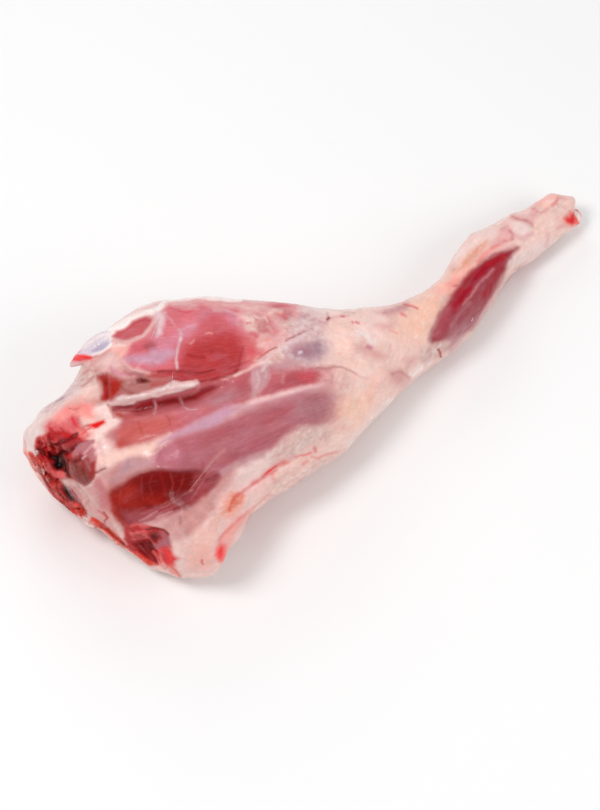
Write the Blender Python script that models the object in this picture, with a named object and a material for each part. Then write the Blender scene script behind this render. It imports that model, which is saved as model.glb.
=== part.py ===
"""A raw leg of lamb, lying on its outer side with the inner side up.

Three solids: the meat from the cut butt end to the shank, the aitch bone whose pale
cartilage shows at the butt's far edge, and the sawn end of the shank bone. The leg lies
along X with the butt at -X and the shank at +X. Y is across, Z is up, and the origin is
under the middle of the leg's box, on the surface that it rests on. Sizes are in
millimetres until the meshes are made.

The meat is a loft of oval sections. Muscles, creases and the hollows of the cut are added
to it as relief. Their places are given the way they are seen, on a grid that is square to
one line of sight: (right, down) in steps of GRID_STEP.
"""

import math
from dataclasses import dataclass

import bmesh
import bpy
import numpy as np
from mathutils import Matrix, Vector, noise

MM = 0.001

# Sections from the butt to the shank's end: x and y of the middle, half the width, the
# height of the top, the height of the underside, and the turn about Z in degrees
STATIONS = (
    (-173, -13, 75, 86, -1, -20),
    (-163, -15, 79, 91, -1, -16),
    (-150, -14, 79, 96, -2, -13),
    (-137, -5, 78, 100, -2, -11),
    (-123, 5, 81, 102, -2, -9),
    (-106, 13, 79, 103, -2, -7),
    (-85, 16, 78, 103, -2, -5),
    (-62, 13, 73, 101, -2, -2),
    (-39, 7, 63, 97, -2, 0),
    (-14, 0, 53, 89, -2, 3),
    (13, -3, 40, 78, -1, 6),
    (42, -3, 28, 66, -1, 8),
    (71, 0, 22, 56, 1, 3),
    (93, 4, 21, 50, 2, -4),
    (110, 10, 20, 46, 3, -8),
    (126, 20, 20, 45, 3, -12),
    (140, 28, 20, 42, 3, -13),
    (154, 33, 18, 39, 3, -15),
    (173, 35, 17, 35, 3, -18),
    (192, 38, 15, 33, 3, -18),
    (206, 42, 16, 30, 4, -14),
    (213, 43, 16, 27, 5, -8),
)

# How finely the loft is laid out, before it is thinned to the triangles that it needs
RINGS = 190
AROUND = 150
BUTT_RINGS = 20
SHANK_RINGS = 6
KEPT_SHARE = 0.14

# Height of a section's widest place, as a share of its thickness, and the squareness of
# its upper and lower halves
WIDEST = 0.42
UPPER_POWER = 2.25
LOWER_POWER = 2.7

# How far the two ends bulge past the last sections, the angle of the curve that their
# rims begin at, and the middle height and the facing of the butt's end
BUTT_BULGE = 22.0
SHANK_BULGE = 6.5
END_START = math.radians(18)
BUTT_MIDDLE_HEIGHT = 33.0
BUTT_FACING = math.radians(10)

# The line of sight that the relief is laid out along, and how squarely a surface has to
# face it to take the whole relief
SIGHT_ELEVATION = math.radians(60)
SIGHT_TURN = math.radians(-30)
SIGHT_DISTANCE = 1770.0
SIGHT_TARGET = (-19.5, 4.6, 0.0)
GRID_STEP = 0.68
GRID_MIDDLE = (300, 405)
FULL_FACING = 0.35


@dataclass(frozen=True)
class Relief:
    """A rise, or a groove where the height is negative, along a path on the sight grid."""

    height: float
    width: float
    path: tuple


MUSCLES = {
    "round_muscle": Relief(4.0, 24, ((170, 352), (270, 335))),
    "rump_muscle": Relief(2.5, 11, ((128, 354), (152, 345))),
    "pink_band": Relief(3.0, 9, ((135, 432), (200, 415), (290, 385))),
    "mauve_muscle": Relief(4.5, 14, ((185, 455), (300, 415))),
    "fat_roll": Relief(3.0, 14, ((186, 545), (206, 520))),
    "fat_band": Relief(2.5, 8, ((245, 510), (340, 446))),
    "butt_lump": Relief(3.0, 12, ((52, 418), (80, 412))),
    "knee": Relief(3.0, 14, ((312, 346), (345, 338))),
    "shank_muscle": Relief(3.5, 8, ((450, 322), (502, 264))),
    "knuckle": Relief(2.5, 5, ((523, 226), (526, 227))),
    "cut_muscle": Relief(5.0, 8, ((78, 455), (80, 472))),
    "tendon_strip": Relief(1.5, 4, ((112, 403), (148, 395), (199, 382), (235, 376), (272, 360))),
    "fascia_ridge": Relief(1.8, 5, ((121, 449), (180, 431), (220, 415), (260, 400), (323, 384))),
}

CREASES = {
    "upper_crease": Relief(-3.5, 4, ((125, 384), (148, 374), (218, 374), (245, 369), (262, 358))),
    "slot": Relief(-5.5, 5.5, ((120, 410), (156, 404), (189, 399), (222, 386))),
    "bone_pit": Relief(-8.0, 5, ((96, 380), (97, 396))),
    "dark_patch": Relief(-4.0, 13, ((128, 500), (196, 484))),
    "fat_seam": Relief(-2.5, 5, ((184, 524), (232, 490), (286, 462), (345, 425))),
    "shank_groove": Relief(-3.0, 4, ((436, 326), (455, 288), (475, 262), (502, 243))),
    "hock_hollow": Relief(-2.0, 4, ((540, 207), (557, 204))),
    "cut_hollow": Relief(-15.0, 6, ((52, 455), (60, 464))),
    "lower_hollow": Relief(-8.0, 5, ((66, 486), (80, 503))),
    "near_hollow": Relief(-8.0, 4.5, ((137, 543), (152, 559))),
}

# The band where the cut meat is ragged, and the size of its crags
CUT_BAND = Relief(2.6, 11, ((38, 452), (60, 485), (85, 512), (120, 540), (150, 560)))
CRAG_SIZE = 9.0
CRAG_LAYERS = 3
# The gentle unevenness of the whole surface
WAVE_HEIGHT = 1.1
WAVE_SIZE = 34.0
WAVE_LAYERS = 2

# The cartilage wedge: thick end, tip, half the width and half the thickness
AITCH_THICK_END = (-123.0, 69.0, 85.0)
AITCH_TIP = (-155.5, 70.5, 69.5)
AITCH_HALF_WIDTH = 7.0
AITCH_HALF_THICKNESS = 5.0
AITCH_TAPER = 0.42

# The shank bone: its axis from inside the meat to the sawn end, its radius, how much wider
# it is at the sawn end, and the power that flattens its ends (1 leaves them round)
SHANK_BONE_START = (184.0, 33.5, 14.0)
SHANK_BONE_END = (225.0, 35.5, 10.0)
SHANK_BONE_RADIUS = 6.2
SHANK_BONE_FLARE = 0.16
SHANK_BONE_SOFTNESS = 0.25

BONE_SIDES = 24
BONE_RINGS = 14
POCKET_GAP = 0.35

# The box that the meat's underside is cut flat with, as the surface below presses it
TABLE_SIZE = (600.0, 400.0, 20.0)

COLOURS = {
    "leg_meat": (0.48, 0.17, 0.17, 1.0),
    "aitch_bone": (0.62, 0.60, 0.66, 1.0),
    "shank_bone": (0.70, 0.42, 0.36, 1.0),
}
WET_ROUGHNESS = 0.4


def smooth_sections(rows, count):
    """The rows read at even steps along a smooth curve through all of them."""
    table = np.array(rows, float)
    padded = np.vstack([2 * table[0] - table[1], table, 2 * table[-1] - table[-2]])
    steps = np.linspace(0, len(rows) - 1, count)
    first = np.minimum(steps.astype(int), len(rows) - 2)
    t = (steps - first)[:, None]
    before, start, end, after = (padded[first + k] for k in range(4))
    return 0.5 * (
        2 * start
        + (end - before) * t
        + (2 * before - 5 * start + 4 * end - after) * t**2
        + (3 * start - before - 3 * end + after) * t**3
    )


def rounded(value, power):
    """A sine or cosine bent towards a squarer, superelliptic section."""
    return np.sign(value) * np.abs(value) ** (2 / power)


def section_points(row):
    """The closed outline of one section, counted from the far side over the top."""
    x, y, half, top, under, turn = row
    angle = np.linspace(0, 2 * math.pi, AROUND, endpoint=False)
    power = np.where(np.sin(angle) >= 0, UPPER_POWER, LOWER_POWER)
    across = rounded(np.cos(angle), power) * half
    rise = rounded(np.sin(angle), power)
    middle = under + WIDEST * (top - under)
    height = np.where(rise >= 0, middle + (top - middle) * rise, middle + (middle - under) * rise)
    turn = math.radians(turn)
    return np.stack([x + across * math.sin(turn), y + across * math.cos(turn), height], 1)


def end_rings(ring, middle_height, outwards, bulge, count):
    """Rings that shrink from a section to the middle of a bulging end."""
    middle = ring.mean(axis=0)
    middle[2] = middle_height
    angles = np.linspace(END_START, math.pi / 2, count + 1)[1:-1]
    rings = []
    for angle in angles:
        share = math.cos(angle) / math.cos(END_START)
        reach = bulge * (math.sin(angle) - math.sin(END_START)) / (1 - math.sin(END_START))
        rings.append(middle + (ring - middle) * share + outwards * reach)
    return rings, middle + outwards * bulge


def level_direction(turn, side):
    """The level direction of a section with this turn, to the butt (-1) or shank (+1)."""
    return side * np.array([math.cos(turn), -math.sin(turn), 0.0])


def loft_mesh():
    """The whole meat as one closed grid of rings, before its relief."""
    rows = smooth_sections(STATIONS, RINGS)
    rings = [section_points(row) for row in rows]
    butt, butt_pole = end_rings(
        rings[0], BUTT_MIDDLE_HEIGHT, level_direction(BUTT_FACING, -1),
        BUTT_BULGE, BUTT_RINGS,
    )
    shank_height = (rows[-1][3] + rows[-1][4]) / 2
    shank, shank_pole = end_rings(
        rings[-1], shank_height, level_direction(math.radians(rows[-1][5]), 1),
        SHANK_BULGE, SHANK_RINGS,
    )
    mesh = bmesh.new()
    loops = [[mesh.verts.new(p) for p in ring] for ring in butt[::-1] + rings + shank]
    for first, second in zip(loops, loops[1:]):
        for k in range(AROUND):
            n = (k + 1) % AROUND
            mesh.faces.new((first[k], first[n], second[n], second[k]))
    for loop, pole in ((loops[0], butt_pole), (loops[-1], shank_pole)):
        tip = mesh.verts.new(pole)
        for k in range(AROUND):
            mesh.faces.new((loop[k], loop[(k + 1) % AROUND], tip))
    bmesh.ops.recalc_face_normals(mesh, faces=mesh.faces)
    mesh.normal_update()
    return mesh


def sight_axes():
    """The right, up and forward directions of the line of sight."""
    right = np.array([math.cos(SIGHT_TURN), math.sin(SIGHT_TURN), 0.0])
    level = np.array([-math.sin(SIGHT_TURN), math.cos(SIGHT_TURN), 0.0])
    zenith = np.array([0.0, 0.0, 1.0])
    up = level * math.sin(SIGHT_ELEVATION) + zenith * math.cos(SIGHT_ELEVATION)
    forward = level * math.cos(SIGHT_ELEVATION) - zenith * math.sin(SIGHT_ELEVATION)
    return right, up, forward


def seen_places(points):
    """Where points fall on the sight grid, as (right, down) rows."""
    right, up, forward = sight_axes()
    offset = points - (np.array(SIGHT_TARGET) - forward * SIGHT_DISTANCE)
    scale = SIGHT_DISTANCE / GRID_STEP / (offset @ forward)
    across = GRID_MIDDLE[0] + (offset @ right) * scale
    down = GRID_MIDDLE[1] - (offset @ up) * scale
    return np.stack([across, down], 1)


def path_distance(places, path):
    """The distance in millimetres of each place to a path on the sight grid."""
    nearest = np.full(len(places), np.inf)
    for start, end in zip(path, path[1:]):
        start = np.array(start, float)
        along = np.array(end, float) - start
        share = np.clip((places - start) @ along / (along @ along), 0, 1)
        gap = np.linalg.norm(places - start - share[:, None] * along, axis=1)
        nearest = np.minimum(nearest, gap)
    return nearest * GRID_STEP


def eased(value, low, high):
    """A smooth step from 0 at low to 1 at high."""
    t = np.clip((value - low) / (high - low), 0, 1)
    return t * t * (3 - 2 * t)


def turbulence(points, size, layers):
    """Signed layered noise at each point, with bumps about as large as size."""
    return np.array([noise.fractal(Vector(p) / size, 1.0, 2.0, layers) for p in points])


def relief_heights(points, normals):
    """How far each point of the loft moves along its normal."""
    places = seen_places(points)
    facing = eased(-(normals @ sight_axes()[2]), 0.0, FULL_FACING)
    heights = WAVE_HEIGHT * turbulence(points, WAVE_SIZE, WAVE_LAYERS)
    for form in (*MUSCLES.values(), *CREASES.values()):
        gap = path_distance(places, form.path) / form.width
        heights += facing * form.height * np.exp(-gap**2)
    band = facing * np.exp(-(path_distance(places, CUT_BAND.path) / CUT_BAND.width) ** 4)
    return heights + band * CUT_BAND.height * turbulence(points, CRAG_SIZE, CRAG_LAYERS)


def finish_mesh(mesh, name):
    """Turn a bmesh in millimetres into an object in metres."""
    bmesh.ops.scale(mesh, vec=(MM, MM, MM), verts=mesh.verts)
    data = bpy.data.meshes.new(name)
    mesh.to_mesh(data)
    mesh.free()
    return bpy.data.objects.new(name, data)


def build_meat():
    """The meat with its relief, not yet thinned or cut."""
    mesh = loft_mesh()
    points = np.array([v.co for v in mesh.verts])
    normals = np.array([v.normal for v in mesh.verts])
    moved = points + normals * relief_heights(points, normals)[:, None]
    for vert, place in zip(mesh.verts, moved):
        vert.co = place
    return finish_mesh(mesh, "leg_meat")


def axis_frame(start, end):
    """A matrix whose X axis runs from start to end, with its origin half way."""
    start = Vector(start)
    end = Vector(end)
    turn = (end - start).to_track_quat("X", "Z").to_matrix().to_4x4()
    return Matrix.Translation((start + end) / 2) @ turn


def aitch_mesh(gap):
    """The cartilage wedge: a flattened ball that narrows to its tip, grown by gap."""
    half_length = (Vector(AITCH_TIP) - Vector(AITCH_THICK_END)).length / 2
    mesh = bmesh.new()
    bmesh.ops.create_uvsphere(mesh, u_segments=BONE_SIDES, v_segments=BONE_RINGS, radius=1)
    for vert in mesh.verts:
        side, across, along = vert.co
        slim = 1 - AITCH_TAPER * along
        vert.co = (
            along * (half_length + gap),
            side * (AITCH_HALF_WIDTH * slim + gap),
            across * (AITCH_HALF_THICKNESS * slim + gap),
        )
    bmesh.ops.transform(mesh, matrix=axis_frame(AITCH_THICK_END, AITCH_TIP), verts=mesh.verts)
    return mesh


def shank_bone_mesh(gap):
    """The shank bone: a round bar with softened ends, flared and uneven where it is sawn."""
    half_length = (Vector(SHANK_BONE_END) - Vector(SHANK_BONE_START)).length / 2
    mesh = bmesh.new()
    bmesh.ops.create_uvsphere(mesh, u_segments=BONE_SIDES, v_segments=BONE_RINGS, radius=1)
    for vert in mesh.verts:
        side, across, along = vert.co
        radial = math.hypot(side, across)
        fuller = radial ** (SHANK_BONE_SOFTNESS - 1) if radial > 0 else 0
        flare = 1 + SHANK_BONE_FLARE * max(along, 0)
        radius = (SHANK_BONE_RADIUS + gap) * fuller * flare
        vert.co = (along * (half_length + gap), side * radius, across * radius)
    bmesh.ops.transform(mesh, matrix=axis_frame(SHANK_BONE_START, SHANK_BONE_END), verts=mesh.verts)
    return mesh


def table_mesh():
    """A box whose top is the surface that the leg rests on."""
    mesh = bmesh.new()
    bmesh.ops.create_cube(mesh, size=1)
    bmesh.ops.scale(mesh, vec=TABLE_SIZE, verts=mesh.verts)
    bmesh.ops.translate(mesh, vec=(0, 0, -TABLE_SIZE[2] / 2), verts=mesh.verts)
    return mesh


def thin(obj, share):
    """Keep a share of the triangles, the ones that the form needs most."""
    modifier = obj.modifiers.new("thin", "DECIMATE")
    modifier.ratio = share
    modifier.use_collapse_triangulate = True


def cut(obj, cutter):
    """Take a cutter's shape out of an object."""
    modifier = obj.modifiers.new(cutter.name, "BOOLEAN")
    modifier.object = cutter
    modifier.operation = "DIFFERENCE"


def apply_modifiers(obj):
    """Keep an object's evaluated mesh in place of its modifiers."""
    graph = bpy.context.evaluated_depsgraph_get()
    data = bpy.data.meshes.new_from_object(obj.evaluated_get(graph))
    obj.modifiers.clear()
    obj.data = data


def centre(objects):
    """Move the meshes so that their common box stands over the origin, on its bottom."""
    points = np.array([v.co for obj in objects for v in obj.data.vertices])
    low = points.min(axis=0)
    high = points.max(axis=0)
    shift = Vector((-(low[0] + high[0]) / 2, -(low[1] + high[1]) / 2, -low[2]))
    for obj in objects:
        obj.data.transform(Matrix.Translation(shift))


def paint(obj):
    """Give an object its own plain wet material."""
    material = bpy.data.materials.new(obj.name)
    material.use_nodes = True
    shader = material.node_tree.nodes["Principled BSDF"]
    shader.inputs["Base Color"].default_value = COLOURS[obj.name]
    shader.inputs["Roughness"].default_value = WET_ROUGHNESS
    shader.inputs["Metallic"].default_value = 0.0
    material.diffuse_color = COLOURS[obj.name]
    obj.data.materials.append(material)


def new_collection(name):
    """A collection in the scene."""
    collection = bpy.data.collections.new(name)
    bpy.context.scene.collection.children.link(collection)
    return collection


def main():
    for obj in list(bpy.data.objects):
        bpy.data.objects.remove(obj)
    pieces = new_collection("leg_of_lamb")
    cutters = new_collection("cutters")

    meat = build_meat()
    aitch = finish_mesh(aitch_mesh(0), "aitch_bone")
    bone = finish_mesh(shank_bone_mesh(0), "shank_bone")
    for obj in (meat, aitch, bone):
        pieces.objects.link(obj)

    hollows = (
        finish_mesh(table_mesh(), "table_cutter"),
        finish_mesh(aitch_mesh(POCKET_GAP), "aitch_cutter"),
        finish_mesh(shank_bone_mesh(POCKET_GAP), "shank_cutter"),
    )
    thin(meat, KEPT_SHARE)
    for cutter in hollows:
        cutter.hide_render = True
        cutter.display_type = "WIRE"
        cutters.objects.link(cutter)
        cut(meat, cutter)
    apply_modifiers(meat)
    centre((meat, aitch, bone))
    for obj in (meat, aitch, bone):
        paint(obj)
        obj.data.shade_smooth()


main()
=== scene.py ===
"""The looks of a raw leg of lamb that lies on its outer side.

The meat's surface is a fine skin over the solid of the frame. Colours and relief are laid on
it by marks whose places are given in pixels of a 600 x 810 picture, as the camera sees them.
Strands, shreds and bone ends are pieces of their own. All lengths are in metres unless a name
says otherwise.
"""

import logging
import math
from dataclasses import dataclass, field
from enum import Enum

import bpy
import numpy as np
from mathutils import Matrix, Vector, noise
from mathutils.bvhtree import BVHTree


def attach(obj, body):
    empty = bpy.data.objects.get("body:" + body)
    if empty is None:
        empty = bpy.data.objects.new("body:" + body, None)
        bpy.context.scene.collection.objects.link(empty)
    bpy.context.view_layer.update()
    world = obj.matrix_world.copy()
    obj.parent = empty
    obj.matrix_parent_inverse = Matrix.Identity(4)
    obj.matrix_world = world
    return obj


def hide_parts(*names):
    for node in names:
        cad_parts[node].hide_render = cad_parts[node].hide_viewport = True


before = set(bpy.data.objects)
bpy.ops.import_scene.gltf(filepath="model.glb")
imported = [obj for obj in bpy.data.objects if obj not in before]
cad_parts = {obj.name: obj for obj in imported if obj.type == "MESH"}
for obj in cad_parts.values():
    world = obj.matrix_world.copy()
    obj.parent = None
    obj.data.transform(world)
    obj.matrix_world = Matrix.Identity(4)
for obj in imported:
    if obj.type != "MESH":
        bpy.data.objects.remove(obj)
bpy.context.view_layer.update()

BODY = "root"
MM = 0.001
SEED = 41

# The gap across which the loose triangles of a solid's copy are joined
MERGE_GAP = 0.00001

# How much wider the soft edges of patches, of cut meat and of lines are than given, and how
# far they wander as a share of their width
PATCH_SOFTNESS = 2.3
CUT_SOFTNESS = 1.5
LINE_SOFTNESS = 1.3
WANDER = 0.15

# The share of cut meat from which a tissue has the crisper edge of the cut
CUT_EDGE_SHARE = 0.2

# How far the marks are bent out of their drawn places, in pixels
BEND = 1.3

# What the wet gloss adds to every colour, taken off beforehand, how much brighter the colours
# are made so that they look right under the lamps, and the darkest value that is left
GLOSS_VEIL = 0.012
BRIGHTEN = 1.04
DARKEST = 0.002

# How an offset moves a field of noise along x, y and z
FIELD_SHIFT = (1.0, 0.7, -1.0)

log = logging.getLogger("leg_of_lamb")

Place = tuple[float, float]
Places = tuple[Place, ...]
Span = tuple[float, float]
Colour = tuple[float, float, float, float]


class Tissue(Enum):
    """Kinds of tissue, each with its own grain and gloss, as shares of fat, muscle, cut and scruff."""

    FAT = (1.0, 0.0, 0.0, 0.0)
    SCRUFF = (0.5, 0.0, 0.0, 1.0)
    SKIN = (0.3, 0.2, 0.0, 0.2)
    FILM = (0.0, 0.45, 0.0, 0.1)
    MUSCLE = (0.0, 1.0, 0.0, 0.0)
    DEEP = (0.0, 0.45, 0.0, 0.0)
    CUT = (0.0, 0.25, 1.0, 0.0)
    FLAP = (0.0, 0.7, 0.25, 0.1)
    LUMP = (0.3, 0.0, 0.18, 0.25)
    SMOOTH = (0.1, 0.0, 0.0, 0.0)


class Hue(Enum):
    """Colours of the leg: display values from 0 to 255, and the tissue that has the colour."""

    WHITE_FAT = (248, 234, 230, Tissue.FAT)
    COOL_WHITE = (232, 208, 204, Tissue.SKIN)
    PINK_WHITE = (240, 206, 200, Tissue.FAT)
    PALE_PINK = (238, 192, 188, Tissue.FAT)
    CREAM_FAT = (236, 196, 186, Tissue.FAT)
    PEACH_CREAM = (246, 203, 191, Tissue.FAT)
    PEACH_FAT = (238, 180, 166, Tissue.FAT)
    APRICOT = (243, 192, 170, Tissue.FAT)
    BEIGE_FAT = (224, 184, 175, Tissue.SCRUFF)
    GREY_BEIGE = (214, 177, 170, Tissue.SCRUFF)
    TAN_FAT = (222, 154, 132, Tissue.FAT)
    STAIN = (230, 128, 98, Tissue.FAT)
    DUSTY_FAT = (214, 158, 154, Tissue.SKIN)
    GREY_LILAC = (216, 184, 184, Tissue.SCRUFF)
    STRIP = (216, 183, 180, Tissue.FAT)
    PINK_SKIN = (226, 172, 170, Tissue.SKIN)
    PALE_SALMON = (248, 182, 170, Tissue.SMOOTH)
    SALMON = (240, 146, 138, Tissue.SMOOTH)
    DEEP_SALMON = (222, 108, 106, Tissue.SMOOTH)
    ROSE_RED = (204, 76, 88, Tissue.SMOOTH)
    VEIN = (196, 100, 108, Tissue.SMOOTH)
    LUMP_PINK = (240, 142, 136, Tissue.LUMP)
    LUMP_RED = (212, 86, 92, Tissue.LUMP)
    BRIGHT_RED = (248, 62, 62, Tissue.SMOOTH)
    BLOOD = (222, 14, 34, Tissue.SMOOTH)
    DEEP_BLOOD = (172, 14, 34, Tissue.SMOOTH)
    BURNT_RED = (206, 84, 62, Tissue.SMOOTH)
    FILM_WHITE = (228, 204, 208, Tissue.FILM)
    FILM_PINK = (214, 164, 170, Tissue.FILM)
    # A painted sheen: the lavender of light reflected on the film over the muscles
    LAVENDER = (202, 152, 172, Tissue.FILM)
    LAVENDER_PINK = (206, 132, 150, Tissue.FILM)
    DUSTY_MAUVE = (196, 148, 152, Tissue.FILM)
    BLUE_GREY = (164, 126, 140, Tissue.FILM)
    ROSE_SKIN = (200, 138, 134, Tissue.FILM)
    PINK_MUSCLE = (216, 112, 122, Tissue.MUSCLE)
    SALMON_MUSCLE = (214, 116, 114, Tissue.MUSCLE)
    ROSE_MUSCLE = (194, 104, 111, Tissue.MUSCLE)
    WARM_MUSCLE = (200, 98, 92, Tissue.MUSCLE)
    RED_ROSE = (198, 84, 92, Tissue.MUSCLE)
    RED_MUSCLE = (182, 64, 66, Tissue.MUSCLE)
    RUST = (190, 84, 76, Tissue.MUSCLE)
    MAUVE_MUSCLE = (180, 103, 112, Tissue.MUSCLE)
    GREY_MAUVE = (176, 118, 124, Tissue.MUSCLE)
    RED_MAUVE = (174, 84, 92, Tissue.MUSCLE)
    BROWN_ROSE = (178, 116, 110, Tissue.MUSCLE)
    DARK_RED = (144, 38, 42, Tissue.DEEP)
    WINE = (112, 14, 20, Tissue.DEEP)
    PATCH_RED = (132, 22, 18, Tissue.DEEP)
    BRICK = (168, 44, 34, Tissue.DEEP)
    CRIMSON = (160, 26, 46, Tissue.DEEP)
    SHANK_MAUVE = (160, 72, 82, Tissue.MUSCLE)
    CUT_RED = (194, 44, 48, Tissue.CUT)
    CUT_ORANGE = (230, 70, 52, Tissue.CUT)
    CUT_PINK = (232, 108, 106, Tissue.CUT)
    # Painted shade: dark red for the creases, holes and gaps of the cut
    CUT_DARK = (108, 14, 16, Tissue.CUT)
    FLAP_RED = (160, 50, 52, Tissue.FLAP)
    FLAP_MAUVE = (184, 116, 120, Tissue.FLAP)
    FLAP_BROWN = (130, 66, 60, Tissue.FLAP)
    # Painted shadow: near-black red that stands for the shade deep in the cut's hollows and under the flap's
    # edge
    BLACK_RED = (30, 1, 2, Tissue.DEEP)
    CARTILAGE = (222, 208, 220, Tissue.SMOOTH)
    DARK_CARTILAGE = (176, 160, 186, Tissue.SMOOTH)
    BONE = (244, 224, 214, Tissue.SMOOTH)

    @property
    def tissue(self) -> np.ndarray:
        """The tissue's shares of fat, muscle, cut and scruff."""
        return np.array(self.value[3].value)

    def linear(self) -> np.ndarray:
        """The colour as scene-linear light, by the usual curve of a display.

        Returns:
            Red, green and blue, brightened and without the veil of the gloss.
        """
        value = np.array(self.value[:3]) / 255
        light = np.where(value > 0.04045, ((value + 0.055) / 1.055) ** 2.4, value / 12.92)
        return np.maximum(light * BRIGHTEN - GLOSS_VEIL, DARKEST)

    def shader(self) -> Colour:
        """The colour as a value for a colour socket."""
        return (*(float(part) for part in self.linear()), 1.0)


class Shade(Enum):
    """Colours that darken what they cover, because they are multiplied with it."""

    FIBRE = (0.66, 0.46, 0.48)
    BLOTCH = (0.82, 0.62, 0.60)
    MOTTLE = (0.80, 0.64, 0.64)
    # Painted shade for the hollows between the crumbs of scruffy fat
    CRUMB = (0.74, 0.50, 0.46)
    SHRED = (0.62, 0.22, 0.20)
    RIPPLE = (0.75, 0.5, 0.5)

    def shader(self) -> Colour:
        """The colour as a value for a colour socket."""
        return (*self.value, 1.0)


def eased(value: np.ndarray, low: float, high: float) -> np.ndarray:
    """A smooth step from 0 at low to 1 at high."""
    share = np.clip((value - low) / (high - low), 0, 1)
    return share * share * (3 - 2 * share)


def layered_noise(points: np.ndarray, size: float, layers: int, offset: float = 0.0) -> np.ndarray:
    """Signed noise at each point.

    Args:
        points: rows of x, y and z.
        size: the size of the largest bumps.
        layers: how many finer layers are added.
        offset: moves the pattern, so that two fields differ.

    Returns:
        One value a point, mostly from -1 to 1.
    """
    shift = Vector([offset * part for part in FIELD_SHIFT])
    return np.array([noise.fractal(Vector(p) / size + shift, 1.0, 2.0, layers) for p in points])


class Pattern(Enum):
    """Fields of noise: the size of their bumps, their layers, and an offset that keeps them apart."""

    COARSE = (9 * MM, 2, 3.0)
    FINE = (2.4 * MM, 2, 7.0)
    SWAY_ACROSS = (11 * MM, 2, 31.0)
    SWAY_DOWN = (11 * MM, 2, 37.0)
    CLUMPS = (3.4 * MM, 3, 27.0)
    LUMPS = (6 * MM, 3, 5.0)
    GREASE = (5.5 * MM, 2, 29.0)
    SWELL = (9 * MM, 2, 9.0)
    BACK_PATCHES = (42 * MM, 2, 13.0)
    BACK_STREAKS = (16 * MM, 3, 21.0)
    BONE_BUMPS = (4 * MM, 3, 17.0)

    def at(self, points: np.ndarray) -> np.ndarray:
        """Its signed value at each point."""
        return layered_noise(points, *self.value)


def line_distance(places: np.ndarray, path: Places) -> tuple[np.ndarray, np.ndarray, np.ndarray]:
    """How places lie along a path.

    Args:
        places: rows of right and down.
        path: the path's points.

    Returns:
        The distance to the path, the length along it, and the signed distance across it.
    """
    best = np.full(len(places), np.inf)
    along = np.zeros(len(places))
    across = np.zeros(len(places))
    travelled = 0.0
    for start, end in zip(np.array(path[:-1], float), np.array(path[1:], float)):
        span = end - start
        length = float(np.linalg.norm(span))
        offset = places - start
        share = np.clip(offset @ span / length**2, 0, 1)
        gap = np.linalg.norm(offset - share[:, None] * span, axis=1)
        side = (span[0] * offset[:, 1] - span[1] * offset[:, 0]) / length
        nearer = gap < best
        best = np.where(nearer, gap, best)
        along = np.where(nearer, travelled + offset @ span / length, along)
        across = np.where(nearer, side, across)
        travelled += length
    return best, along, across


def inside_outline(places: np.ndarray, outline: Places) -> np.ndarray:
    """Tell which places are inside a closed outline.

    Args:
        places: rows of right and down.
        outline: its corners in order.

    Returns:
        One truth value a place.
    """
    inside = np.zeros(len(places), bool)
    x, y = places[:, 0], places[:, 1]
    for (ax, ay), (bx, by) in zip(outline, outline[1:] + outline[:1]):
        if ay != by:
            crosses = ((ay > y) != (by > y)) & (x < (bx - ax) * (y - ay) / (by - ay) + ax)
            inside ^= crosses
    return inside


def smooth_path(path: Places, step: float) -> np.ndarray:
    """Lay a smooth curve through a path's points.

    Args:
        path: the points.
        step: about how far apart the places on the curve are.

    Returns:
        Rows of right and down.
    """
    table = np.array(path, float)
    padded = np.vstack([2 * table[0] - table[1], table, 2 * table[-1] - table[-2]])
    rows = []
    for first in range(len(table) - 1):
        before, start, end, after = padded[first : first + 4]
        count = max(2, round(float(np.linalg.norm(end - start)) / step))
        for t in np.arange(count) / count:
            rows.append(
                0.5 * (2 * start + (end - before) * t + (2 * before - 5 * start + 4 * end - after) * t**2
                       + (3 * start - before - 3 * end + after) * t**3)
            )
    rows.append(table[-1])
    return np.array(rows)


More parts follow.
